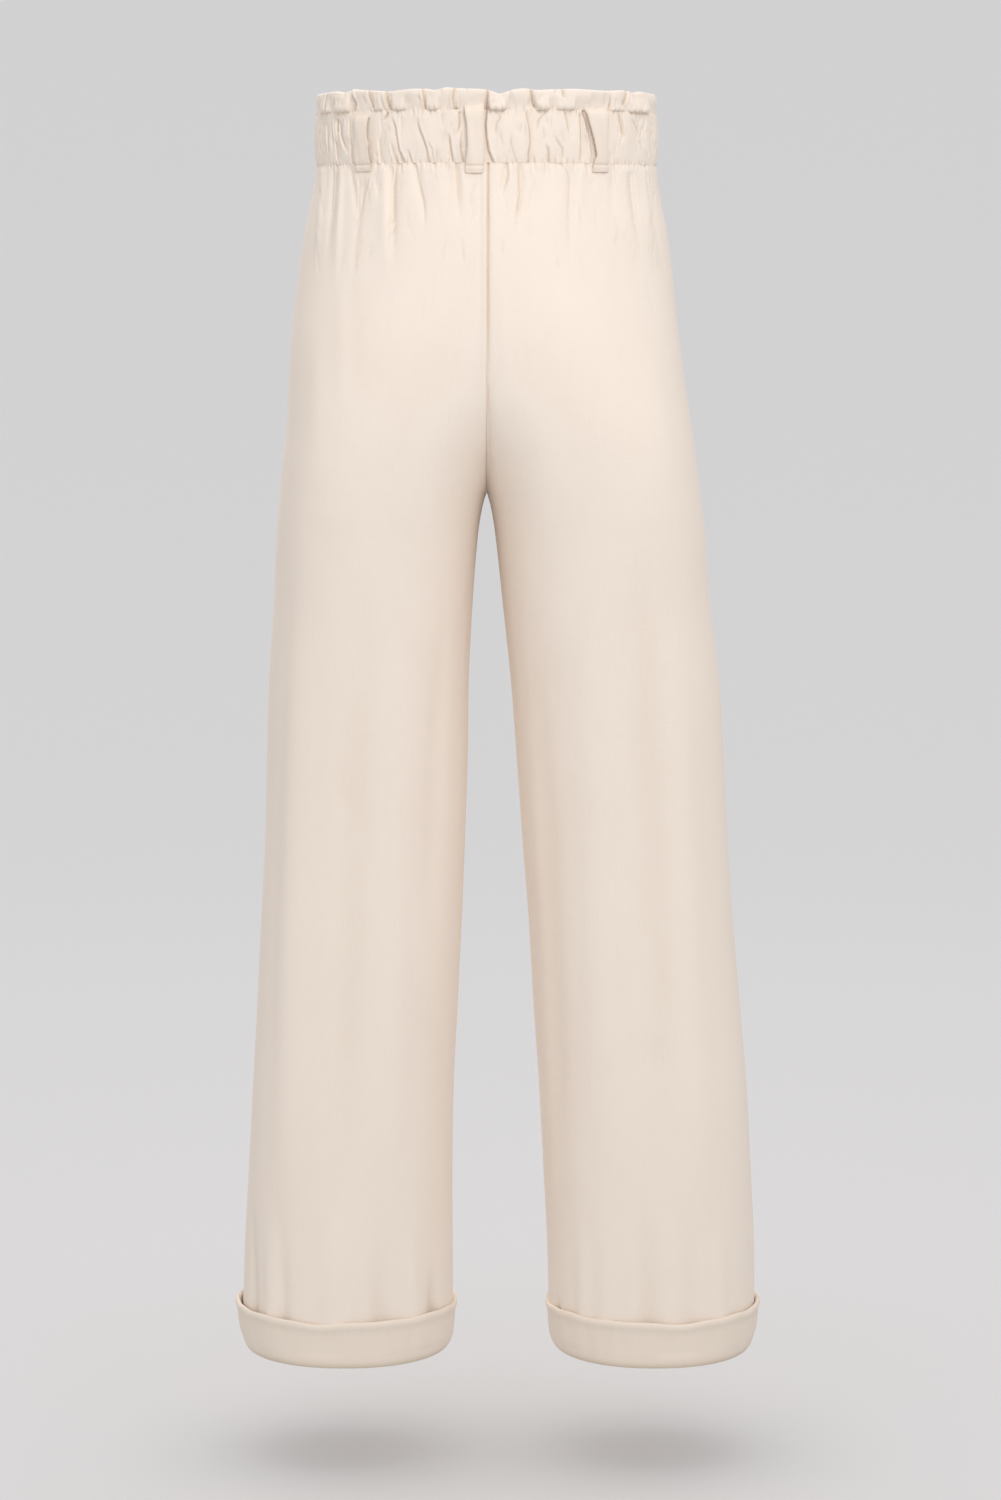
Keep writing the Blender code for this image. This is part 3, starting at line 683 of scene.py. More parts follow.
CASING_CREASES = {
    End.BACK: creases_of(
        (((127, 0), (126.8, -12)), 1, 1.8),
        (((122.5, 12), (122, -16)), 1, 1.8, 0.5),
        (((119.4, 12), (118.6, 2), (117.6, -10)), 1.3, 2, -0.5),
        (((115.2, 15), (115, 3)), 1.6, 2, 0.5),
        (((116, -2), (115, -19)), 1, 1.8, 0.5),
        (((112.8, 13), (112, 3), (108.2, -8), (104.8, -14)), 1.6, 2.4, 0.4),
        (((105.2, 16), (104, -2), (103, -21)), 0.9, 1.6, 0.4, 0.1, 0.05),
        (((75, 19), (79, 12)), 1.9, 2.2, 0.4, 0.1, 0.3),
        (((82.2, 2), (81.2, -10), (80.2, -21)), 1.2, 2.4, 0.6, 0.4, 0.1),
        (((73.2, 18), (69, 7), (67.6, -3), (66.6, -10), (62, -21)), 1.5, 3, -0.3, 0.3, 0.05),
        (((73, -3), (70.5, -14), (68, -23)), 1.4, 2, 0.5, 0.4, 0.02),
        (((65, 17), (64, 6), (65, -6)), 0.8, 2.6, 0.6, 0.2, 0.6),
        (((53, 17), (51.4, 7), (47.4, -3), (45, -11), (43.6, -22)), 1.5, 3.2, -0.3, 0.3, 0.05),
        (((60, -9), (56.6, -21)), 1.1, 2, -0.5, 0.4, 0.05),
        (((38, -8), (37.4, -21)), 1, 1.8, 0.5, 0.4, 0.05),
        (((34, 18), (33, 4)), 0.8, 2.6, 0.6, 0.2, 0.6),
        (((28.4, 3), (26.9, -10), (25.2, -21)), 1.7, 2.6, -0.4, 0.3, 0.05),
        (((20.7, 19), (19.9, 9), (21.6, -1)), 1.6, 2, 0.4, 0.1, 0.4),
        (((19.3, -1), (19.2, -10), (16.8, -22)), 1.6, 2, 0.4, 0.3, 0.05),
        (((17.2, 19), (15, 9), (14.6, -6), (15.4, -21)), 1.3, 1.4, -0.6, 0.1, 0.05),
        (((-0.6, 21), (0.8, 9), (0.1, -1), (-1.6, -11), (-6.4, -23)), 2.2, 2.8, -0.3, 0.02, 0.1),
        (((-10.6, 18), (-10.4, 13), (-7.8, 9), (-6.8, -2)), 1.2, 2.4, -0.5, 0.2, 0.4),
        (((-19, 3), (-19, -6), (-21.4, -14), (-23, -22)), 1.3, 2.6, 0.5, 0.4, 0.05),
        (
            ((-29.6, 21), (-31.4, 13), (-33, 5), (-33.6, -5), (-32.2, -14), (-33, -23)),
            2.2, 3, 0.35, 0.15, 0.03,
        ),
        (((-46, 19), (-39.8, 11), (-39, 2)), 1, 2.6, 0.5, 0.1, 0.5),
        (((-45, -4), (-47.4, -11), (-48.4, -21)), 1.5, 2.4, -0.4, 0.4, 0.05),
        (((-49.6, 3), (-54.5, -4), (-58.2, -9), (-59, -19)), 1.2, 2.6, -0.5, 0.4, 0.2),
        (((-60.2, 19), (-62.2, 9), (-63.6, -2)), 1.4, 2.8, 0.4, 0.1, 0.4),
        (((-71.2, 19), (-72.2, 4), (-72.2, -19)), 1.8, 2.8, 0.35, 0.1, 0.15),
        (((-73.4, 21), (-76.2, 12), (-80, -3), (-82.2, -17)), 2.4, 1, 0.7, 0.05, 0.10),
        (((-102.2, 19), (-104, 8), (-105.8, -4)), 1.5, 2.6, -0.4, 0.1, 0.4),
        (((-112, 16), (-116, 8), (-119, -2)), 1.1, 2.6, -0.4, 0.2, 0.4),
        (((-123, 8), (-123.6, -14)), 0.8, 1.8, 0.5),
    ),
    End.FRONT: creases_of(
        (((124, 12), (123, -12)), 1, 1.8),
        (((118, 16), (116, 0), (117, -14)), 1.4, 2.2, 0.5),
        (((106, 18), (102, 4), (100, -20)), 1.8, 2.6, -0.4, 0.1, 0.1),
        (((74, 18), (71.5, 4), (69, -21)), 2, 3, -0.3, 0.1, 0.1),
        (((65, 2), (63, -21)), 1.2, 2.2, 0.5, 0.4, 0.1),
        (((56, 19), (54.5, 8), (57.5, -2)), 1.3, 2.4, 0.5, 0.1, 0.4),
        (((46, 18), (44, 3), (40, -10), (38.5, -21)), 2.1, 3, -0.3, 0.2, 0.1),
        (((30, 2), (28.5, -21)), 1.3, 2.4, 0.5, 0.4, 0.1),
        (((23.5, 19), (21, 6)), 1.3, 2.4, -0.4, 0.1, 0.4),
        (((11, 20), (9, 2), (10, -21)), 2, 2.8, 0.35, 0.1, 0.1),
        (((-2, 18), (-1, 4)), 1, 2.6, 0.5, 0.1, 0.5),
        (((-9, -1), (-12, -21)), 1.4, 2.4, -0.4, 0.4, 0.1),
        (((-23, 20), (-25, 5), (-24, -21)), 2.1, 3, 0.35, 0.1, 0.1),
        (((-37, 14), (-40, -4)), 1.1, 2.6, -0.5, 0.3, 0.4),
        (((-48, 0), (-50, -21)), 1.4, 2.4, 0.4, 0.4, 0.1),
        (((-58, 19), (-61, 4), (-61.5, -21)), 1.9, 2.8, -0.35, 0.1, 0.1),
        (((-74, 18), (-74.5, -2)), 1.4, 2.6, 0.4, 0.1, 0.4),
        (((-102, 18), (-105, 2), (-104, -19)), 1.6, 2.6, -0.4, 0.1, 0.2),
        (((-115, 8), (-117, -20)), 1.3, 2.2, 0.5, 0.3, 0.1),
    ),
}
FRILL_CREASES = {
    End.BACK: creases_of(
        (((124, 38), (123.6, 21)), 1.6, 2.4, 0.5, 0.01, 0.2),
        (((116, 31), (115.8, 20)), 0.9, 2.6, 0.5, 0.3, 0.2),
        (((109, 38), (107.5, 30)), 1, 2.4, -0.5, 0.01, 0.5),
        (((103, 38), (101.6, 31), (99.6, 26), (101.6, 19)), 4.2, 4, -0.3, 0.01, 0.1),
        (((89.8, 38), (89, 29), (85.8, 20)), 1.8, 3, 0.5, 0.01, 0.2),
        (((76.2, 38), (75.6, 28), (74.4, 19)), 4, 4.2, 0.3, 0.01, 0.1),
        (((59, 34), (59, 22)), 0.8, 4, 0.6, 0.4, 0.4),
        (((48.4, 38), (47, 28), (46.6, 19)), 2.6, 4.6, 0.45, 0.01, 0.1),
        (((23.2, 38), (25.4, 28), (23.8, 18)), 3.2, 4, 0.4, 0.01, 0.1),
        (((14.2, 38), (14, 30)), 1, 3, 0.5, 0.01, 0.5),
        (((-1, 38), (-1, 19)), 4.8, 3.6, -0.3, 0.01, 0.02),
        (((-18.6, 38), (-17.8, 22)), 1, 4, -0.5, 0.01, 0.4),
        (((-33, 38), (-34.2, 31), (-35.6, 25), (-39, 20)), 3.8, 4.2, -0.3, 0.01, 0.1),
        (((-52.4, 38), (-52, 30)), 0.9, 2.6, 0.5, 0.01, 0.5),
        (((-57.4, 38), (-58.2, 26)), 2, 3.2, -0.4, 0.01, 0.5),
        (((-94, 38), (-94.6, 28), (-94, 19)), 2.2, 3.4, 0.4, 0.01, 0.2),
        (((-109.6, 38), (-106.6, 27), (-104, 21)), 2.6, 3.4, -0.4, 0.01, 0.2),
        (((-117, 38), (-119.6, 26), (-118, 19)), 2, 2.6, 0.5, 0.01, 0.2),
    ),
    End.FRONT: creases_of(
        (((124, 38), (123, 20)), 1.8, 2.6, 0.5, 0.01, 0.2),
        (((112, 38), (110, 20)), 2.4, 3.4, -0.4, 0.01, 0.2),
        (((96, 38), (94, 20)), 2, 3.4, 0.4, 0.01, 0.2),
        (((74, 38), (72.5, 27), (74, 19)), 3.8, 4.2, -0.3, 0.01, 0.1),
        (((59, 38), (60, 24)), 1.4, 3.6, 0.5, 0.01, 0.5),
        (((44, 38), (45, 19)), 3.8, 4, 0.3, 0.01, 0.1),
        (((29, 38), (27, 22)), 1.6, 3.6, -0.5, 0.01, 0.4),
        (((11, 38), (12.5, 28), (10.5, 19)), 4, 4.2, -0.3, 0.01, 0.1),
        (((-6, 38), (-5, 24)), 1.2, 3.6, 0.5, 0.01, 0.5),
        (((-23, 38), (-24.5, 19)), 3.8, 4, 0.3, 0.01, 0.1),
        (((-40, 38), (-38, 22)), 1.8, 3.6, -0.4, 0.01, 0.4),
        (((-56, 38), (-58, 28), (-60, 19)), 3.6, 4.2, -0.3, 0.01, 0.1),
        (((-74, 38), (-73, 24)), 1.4, 3.4, 0.5, 0.01, 0.4),
        (((-97, 38), (-98, 19)), 2.8, 3.6, 0.4, 0.01, 0.1),
        (((-112, 38), (-110, 20)), 2.2, 3.2, -0.4, 0.01, 0.2),
        (((-123, 38), (-122, 20)), 1.8, 2.6, 0.5, 0.01, 0.2),
    ),
}


class Scallop(NamedTuple):
    """A stretch of the frill that hangs over its gathering stitch instead of running on into the casing."""

    left: float
    right: float
    hang: float


SCALLOPS = {
    End.BACK: (
        Scallop(0.1290, 0.1196, 0.7),
        Scallop(0.1172, 0.1030, 0.9),
        Scallop(0.0862, 0.0784, 0.6),
        Scallop(0.0724, 0.0606, 0.9),
        Scallop(0.0466, 0.0354, 0.9),
        Scallop(0.0270, 0.0200, 0.4),
        Scallop(-0.0012, -0.0162, 1.0),
        Scallop(-0.0370, -0.0490, 1.0),
        Scallop(-0.0530, -0.0684, 0.7),
        Scallop(-0.0940, -0.1062, 0.6),
        Scallop(-0.1088, -0.1262, 1.0),
    ),
    End.FRONT: (
        Scallop(0.1270, 0.1120, 0.9),
        Scallop(0.1080, 0.0930, 0.4),
        Scallop(0.0730, 0.0560, 0.7),
        Scallop(0.0430, 0.0300, 1.0),
        Scallop(0.0240, 0.0140, 0.3),
        Scallop(0.0100, -0.0080, 0.8),
        Scallop(-0.0250, -0.0340, 0.5),
        Scallop(-0.0400, -0.0570, 1.0),
        Scallop(-0.0640, -0.0740, 0.4),
        Scallop(-0.0980, -0.1090, 0.6),
        Scallop(-0.1130, -0.1270, 0.9),
    ),
}
FRILL_EDGE = {
    End.BACK: (
        (0.1300, 0.0332), (0.1160, 0.0344), (0.1090, 0.0330), (0.1025, 0.0359), (0.0965, 0.0350),
        (0.0740, 0.0336), (0.0565, 0.0355), (0.0450, 0.0355), (0.0385, 0.0343), (0.0305, 0.0366),
        (0.0230, 0.0359), (-0.0005, 0.0350), (-0.0050, 0.0334), (-0.0105, 0.0313), (-0.0165, 0.0334),
        (-0.0210, 0.0350), (-0.0300, 0.0360), (-0.0375, 0.0343), (-0.0490, 0.0350), (-0.0680, 0.0356),
        (-0.0920, 0.0342), (-0.1080, 0.0351), (-0.1145, 0.0328), (-0.1200, 0.0344), (-0.1300, 0.0330),
    ),
    End.FRONT: (
        (0.1300, 0.0334), (0.1180, 0.0352), (0.1110, 0.0334), (0.1000, 0.0352), (0.0850, 0.0348),
        (0.0735, 0.0330), (0.0620, 0.0356), (0.0500, 0.0350), (0.0445, 0.0332), (0.0340, 0.0356),
        (0.0200, 0.0350), (0.0110, 0.0328), (0.0010, 0.0352), (-0.0130, 0.0356), (-0.0235, 0.0330),
        (-0.0330, 0.0354), (-0.0480, 0.0352), (-0.0575, 0.0330), (-0.0700, 0.0352), (-0.0860, 0.0350),
        (-0.0975, 0.0334), (-0.1060, 0.0352), (-0.1120, 0.0336), (-0.1200, 0.0346), (-0.1300, 0.0332),
    ),
}


# ---------- Cloth as meshes ----------


@dataclass
class ClothNet:
    """A net of cloth: a flat grid whose corners are then moved to where the cloth lies."""

    columns: int
    rows: int
    shape: bmesh.types.BMesh = field(init=False)

    def __post_init__(self) -> None:
        """Lay the net out flat, one unit wide and one unit long."""
        self.shape = bmesh.new()
        bmesh.ops.create_grid(self.shape, x_segments=self.columns, y_segments=self.rows, size=0.5)
        bmesh.ops.translate(self.shape, vec=(0.5, 0.5, 0.0), verts=self.shape.verts)

    def refine(self, upto: float) -> None:
        """Halve the columns over the first part of the net's length.

        Args:
            upto: the share of the length that gets twice the columns.
        """
        level = 0.5 / self.rows
        fine = [
            edge
            for edge in self.shape.edges
            if max(vert.co.y for vert in edge.verts) < upto
            and abs(edge.verts[0].co.y - edge.verts[1].co.y) < level
        ]
        bmesh.ops.subdivide_edges(self.shape, edges=fine, cuts=1, use_grid_fill=True)

    def corners(self) -> tuple[np.ndarray, np.ndarray]:
        """The share of the width and of the length at which each corner lies."""
        flat = np.array([vert.co[:] for vert in self.shape.verts])
        return flat[:, 0].copy(), flat[:, 1].copy()

    def lay(self, points: np.ndarray) -> None:
        """Move each corner of the net to its point."""
        for vert, point in zip(self.shape.verts, points):
            vert.co = point


@dataclass(frozen=True)
class ClothPiece:
    """A finished piece of cloth: its name, what it stands for and how it was cut."""

    name: str
    node: str
    slot: Slot
    flat: tuple[float, float]
    area: float
    held: str
    rests_on: tuple[str, ...] = ()

    def finish(
        self,
        net: ClothNet,
        outward: np.ndarray,
        cut: np.ndarray,
        painted_shade_share: np.ndarray,
        finish: "TwillFinish",
        wall: float = CLOTH,
    ) -> bpy.types.Object:
        """Turn a laid net into the piece, with its wall, finish and place in the part.

        Args:
            net: the cloth, already laid.
            outward: the way out at each corner.
            cut: where each corner lies on the flat cloth, in metres.
            painted_shade_share: how much painted shade each corner takes, from 0 to 1, deeper in folds,
                along crease lines and at some edges.
            finish: the finish that it gets.
            wall: the thickness of its wall.

        Returns:
            The piece's object.
        """
        shape = net.shape
        shape.normal_update()
        facing = sum(vert.normal.dot(Vector(way)) for vert, way in zip(shape.verts, outward))
        if facing < 0:
            bmesh.ops.reverse_faces(shape, faces=shape.faces)
        for face in shape.faces:
            face.smooth = True
        for edge in shape.edges:
            edge.smooth = not edge.is_boundary
        mesh = bpy.data.meshes.new(self.name)
        shape.to_mesh(mesh)
        shape.free()
        corners = np.zeros(len(mesh.loops), dtype=np.int32)
        mesh.loops.foreach_get("vertex_index", corners)
        layer = mesh.uv_layers.new(name="cut")
        layer.data.foreach_set("uv", cut[corners].astype(np.float32).ravel())
        # this attribute holds painted shade, which the material mixes in as its shade colour
        depth = mesh.attributes.new("fold_depth", "FLOAT", "POINT")
        depth.data.foreach_set("value", painted_shade_share.astype(np.float32))
        piece = bpy.data.objects.new(self.name, mesh)
        bpy.context.scene.collection.objects.link(piece)
        if wall > 0.0:
            solid = piece.modifiers.new("wall", "SOLIDIFY")
            solid.thickness = wall
            solid.offset = -1.0
        mesh.materials.append(finish.material())
        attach(piece, BODY)
        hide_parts(self.node)
        LOG.info("%s: %d faces", self.name, len(mesh.polygons))
        return piece


# ---------- Finishes ----------


class Signal:
    """A shader socket that can be worked with as a number."""

    def __init__(self, tree: bpy.types.NodeTree, socket: bpy.types.NodeSocket) -> None:
        """Hold a socket of a tree."""
        self.tree = tree
        self.socket = socket

    def combine(self, operation: str, first: "Signal | float", second: "Signal | float") -> "Signal":
        """Add a Math node.

        Args:
            operation: the Math node's operation.
            first: its first value.
            second: its second value.

        Returns:
            The node's result.
        """
        node = self.tree.nodes.new("ShaderNodeMath")
        node.operation = operation
        for place, value in enumerate((first, second)):
            if isinstance(value, Signal):
                self.tree.links.new(value.socket, node.inputs[place])
            else:
                node.inputs[place].default_value = value
        return Signal(self.tree, node.outputs[0])

    def __add__(self, other: "Signal | float") -> "Signal":
        """This plus other."""
        return self.combine("ADD", self, other)

    def __radd__(self, other: float) -> "Signal":
        """Other plus this."""
        return self.combine("ADD", other, self)

    def __sub__(self, other: "Signal | float") -> "Signal":
        """This less other."""
        return self.combine("SUBTRACT", self, other)

    def __rsub__(self, other: float) -> "Signal":
        """Other less this."""
        return self.combine("SUBTRACT", other, self)

    def __mul__(self, other: "Signal | float") -> "Signal":
        """This times other."""
        return self.combine("MULTIPLY", self, other)

    def __rmul__(self, other: float) -> "Signal":
        """Other times this."""
        return self.combine("MULTIPLY", other, self)

    def sine(self) -> "Signal":
        """The sine of this."""
        return self.combine("SINE", self, 0.0)


class Bench:
    """Where one material's nodes are put together."""

    def __init__(self, name: str) -> None:
        """Start a material of this name, with only its shader and output."""
        self.material = bpy.data.materials.new(name)
        self.material.use_nodes = True
        self.tree = self.material.node_tree
        self.shader = self.tree.nodes["Principled BSDF"]

    def node(self, kind: str, settings: dict[str, object], sockets: dict[str, object]) -> bpy.types.Node:
        """Add a node.

        Args:
            kind: the node's type.
            settings: its properties.
            sockets: a value, or a socket or signal to link, for each input by name or place.

        Returns:
            The node.
        """
        made = self.tree.nodes.new(kind)
        for name, value in settings.items():
            setattr(made, name, value)
        for name, value in sockets.items():
            if isinstance(value, Signal):
                self.tree.links.new(value.socket, made.inputs[name])
            elif isinstance(value, bpy.types.NodeSocket):
                self.tree.links.new(value, made.inputs[name])
            else:
                made.inputs[name].default_value = value
        return made

    def signal(self, socket: bpy.types.NodeSocket) -> Signal:
        """A socket as a number to work with."""
        return Signal(self.tree, socket)


@dataclass(frozen=True)
class TwillFinish:
    """Cream cotton twill: fine slanted ribs, uneven yarns, and warm painted shade in folds, along crease
    lines and at edges.
    """

    name: str = "cream_twill"
    face: tuple[float, float, float, float] = (0.890, 0.790, 0.704, 1.0)
    # the painted shade colour for folds, crease lines and edges, and also the darker end of the yarns' own
    # uneven tone
    shade: tuple[float, float, float, float] = (0.560, 0.435, 0.290, 1.0)
    rib: float = 0.00085  # from one slanted rib to the next
    slant: float = math.radians(62.0)
    wander: float = 3.0  # how far uneven threads push the ribs about
    yarn: float = 0.00042  # from one yarn to the next
    relief: float = 0.00009
    bump: float = 0.8
    heights: tuple[float, float, float] = (0.30, 0.9, 0.6)  # shares of the relief: ribs, yarns, wefts
    tints: tuple[float, float, float, float] = (0.018, 0.14, 0.09, 0.10)  # the same, then soft clouds
    warmth: float = 0.03  # how much of the shade colour the strongest painted shade takes
    deep: float = 0.90  # how much of it the deepest folds take
    roughness: float = 0.88
    uneven: float = 0.12  # how much the roughness differs from yarn to yarn
    specular: float = 0.25
    sheen: float = 0.10
    sheen_roughness: float = 0.55
    sheen_tint: tuple[float, float, float, float] = (1.0, 0.95, 0.88, 1.0)

    def material(self) -> bpy.types.Material:
        """The finish as a material, made once.

        Returns:
            The material.
        """
        made = bpy.data.materials.get(self.name)
        if made is not None:
            return made
        bench = Bench(self.name)
        cut = bench.node("ShaderNodeUVMap", {"uv_map": "cut"}, {})
        place = bench.node("ShaderNodeSeparateXYZ", {}, {"Vector": cut.outputs["UV"]})
        across, along = (bench.signal(place.outputs[axis]) for axis in ("X", "Y"))
        wander = bench.signal(self.noise(bench, cut, (60.0, 60.0), 2.0).outputs["Fac"])
        turn = 2.0 * math.pi / self.rib
        slanted = across * (turn * math.cos(self.slant)) + along * (turn * math.sin(self.slant))
        ribs = (slanted + wander * self.wander).sine()
        yarns = bench.signal(self.noise(bench, cut, (1.0 / self.yarn, 45.0), 2.0).outputs["Fac"])
        wefts = bench.signal(self.noise(bench, cut, (55.0, 0.8 / self.yarn), 2.0).outputs["Fac"])
        cloudy = bench.signal(self.noise(bench, cut, (22.0, 9.0), 3.0).outputs["Fac"])
        # the attribute read here holds painted shade for folds, crease lines and edges; the yarn, weft,
        # cloud and rib terms are the cloth's own uneven tone
        fold = bench.node("ShaderNodeAttribute", {"attribute_name": "fold_depth"}, {})
        rib_tint, yarn_tint, weft_tint, cloud_tint = self.tints
        tint = bench.signal(fold.outputs["Fac"]) * self.deep + (yarns - 0.5) * yarn_tint
        tint = tint + (wefts - 0.5) * weft_tint + (cloudy - 0.5) * cloud_tint
        tint = tint + ribs * rib_tint + self.warmth
        colour = bench.node(
            "ShaderNodeMix",
            {"data_type": "RGBA", "clamp_factor": True},
            {0: tint, 6: self.face, 7: self.shade},
        )
        height = ribs * self.heights[0] + yarns * self.heights[1] + wefts * self.heights[2]
        bump = bench.node(
            "ShaderNodeBump", {}, {"Strength": self.bump, "Distance": self.relief, "Height": height}
        )
        rough = (yarns - 0.5) * self.uneven + self.roughness
        shader = bench.shader.inputs
        bench.tree.links.new(colour.outputs[2], shader["Base Color"])
        bench.tree.links.new(bump.outputs["Normal"], shader["Normal"])
        bench.tree.links.new(rough.socket, shader["Roughness"])
        shader["Specular IOR Level"].default_value = self.specular
        shader["Sheen Weight"].default_value = self.sheen
        shader["Sheen Roughness"].default_value = self.sheen_roughness
        shader["Sheen Tint"].default_value = self.sheen_tint
        return bench.material

    def noise(
        self, bench: Bench, cut: bpy.types.Node, counts: tuple[float, float], detail: float
    ) -> bpy.types.Node:
        """Soft uneven streaks on the flat cloth.

        Args:
            bench: the material's bench.
            cut: the node that gives the place on the flat cloth.
            counts: how many there are in a metre, across and along.
            detail: how many finer layers lie over them.

        Returns:
            The noise node.
        """
        spread = bench.node(
            "ShaderNodeMapping", {}, {"Vector": cut.outputs["UV"], "Scale": (*counts, 1.0)}
        )
        return bench.node(
            "ShaderNodeTexNoise",
            {"noise_dimensions": "2D"},
            {"Vector": spread.outputs["Vector"], "Scale": 1.0, "Detail": detail, "Roughness": 0.55},
        )


@dataclass(frozen=True)
class StudioFinish:
    """Plain matt paint for the floor and its upturned edge."""

    name: str = "studio_paint"
    colour: tuple[float, float, float, float] = (0.950, 0.942, 0.950, 1.0)
    roughness: float = 0.95
    specular: float = 0.1

    def material(self) -> bpy.types.Material:
        """The paint as a material.

        Returns:
            The material.
        """
        bench = Bench(self.name)
        shader = bench.shader.inputs
        shader["Base Color"].default_value = self.colour
        shader["Roughness"].default_value = self.roughness
        shader["Specular IOR Level"].default_value = self.specular
        return bench.material


# ---------- The garment's pieces ----------


@dataclass(frozen=True)
class LoopPlan:
    """The lie of one belt loop, with each edge's across at heights from the top down."""

    name: str
    end: End
    left: tuple[tuple[float, float], ...]
    right: tuple[tuple[float, float], ...]
    lift: tuple[float, float] = (0.0, 0.0)  # how much further its left and right edges stand off

    @property
    def across(self) -> float:
        """Where the loop's middle stands."""
        return (self.left[-1][0] + self.right[-1][0]) / 2.0

    @property
    def top(self) -> float:
        """The height of its top."""
        return self.left[0][1]

    @property
    def bottom(self) -> float:
        """The height of its bottom."""
        return self.left[-1][1]


LOOPS = (
    LoopPlan(
        "back_left",
        End.BACK,
        ((0.0996, 0.0202), (0.1002, 0.0100), (0.1002, -0.0100), (0.0990, -0.0200), (0.0986, -0.0264)),
        (
            (0.0868, 0.0202), (0.0890, 0.0150), (0.0896, 0.0060), (0.0894, -0.0010), (0.0880, -0.0050),
            (0.0888, -0.0100), (0.0878, -0.0190), (0.0874, -0.0264),
        ),
        (0.0, 0.0012),
    ),
    LoopPlan(
        "back_centre",
        End.BACK,
        (
            (0.0172, 0.0250), (0.0158, 0.0180), (0.0142, 0.0080), (0.0138, -0.0070), (0.0156, -0.0230),
            (0.0158, -0.0284),
        ),
        ((0.0014, 0.0250), (0.0012, 0.0000), (0.0014, -0.0230), (0.0022, -0.0284)),
        (0.0008, 0.0),
    ),
    LoopPlan(
        "back_right",
        End.BACK,
        (
            (-0.0742, 0.0242), (-0.0768, 0.0125), (-0.0808, -0.0030), (-0.0830, -0.0140),
            (-0.0812, -0.0190), (-0.0802, -0.0270),
        ),
        ((-0.0926, 0.0242), (-0.0918, 0.0000), (-0.0926, -0.0200), (-0.0930, -0.0270)),
        (0.0016, 0.0),
    ),
    LoopPlan(
        "front_left",
        End.FRONT,
        ((0.0940, 0.0215), (0.0926, 0.0060), (0.0930, -0.0140), (0.0934, -0.0272)),
        ((0.0794, 0.0215), (0.0796, 0.0040), (0.0786, -0.0120), (0.0790, -0.0272)),
        (0.0006, 0.0),
    ),
    LoopPlan(
        "front_right",
        End.FRONT,
        ((-0.0784, 0.0222), (-0.0796, 0.0060), (-0.0800, -0.0100), (-0.0790, -0.0268)),
        ((-0.0936, 0.0222), (-0.0924, 0.0040), (-0.0930, -0.0120), (-0.0930, -0.0268)),
        (0.0008, 0.0),
    ),
)


def under_loops(end: End, across: np.ndarray, reach: float = 0.0115) -> np.ndarray:
    """0 on cloth that lies under a belt loop and 1 away from it.

    Args:
        end: the back or the front.
        across: the cloth's places across the waist.
        reach: half the width of the cloth that lies flat.

    Returns:
        The share of its folds that the cloth keeps.
    """
    gaps = np.min([np.abs(across - loop.across) for loop in LOOPS if loop.end is end], axis=0)
    return smooth(gaps / reach * 2.0 - 1.0)


class Groove(NamedTuple):
    """A soft line that runs beside a seam, at a distance from it, with a share of the seam's depth."""

    distance: float
    width: float
    share: float


def grooved(grooves: tuple[Groove, ...], apart: np.ndarray) -> np.ndarray:
    """The grooves' joint depth.

    Args:
        grooves: the grooves.
        apart: how far the cloth's points are from the seam.

    Returns:
        The depth at each point, as a share of the seam's.
    """
    return sum(groove.share * bell(apart - groove.distance, groove.width) for groove in grooves)


SIDE_SEAM = (Groove(0.0, 0.0013, 1.0), Groove(0.0052, 0.0010, 0.35))
PLAIN_SEAM = (Groove(0.0, 0.0013, 1.0),)
LAPPED_SEAM = (Groove(0.0016, 0.0019, 1.0), Groove(0.0050, 0.0011, -0.25))
UNDER_SEAM = (Groove(0.0, 0.0022, 1.0), Groove(0.0030, 0.0030, 0.5))


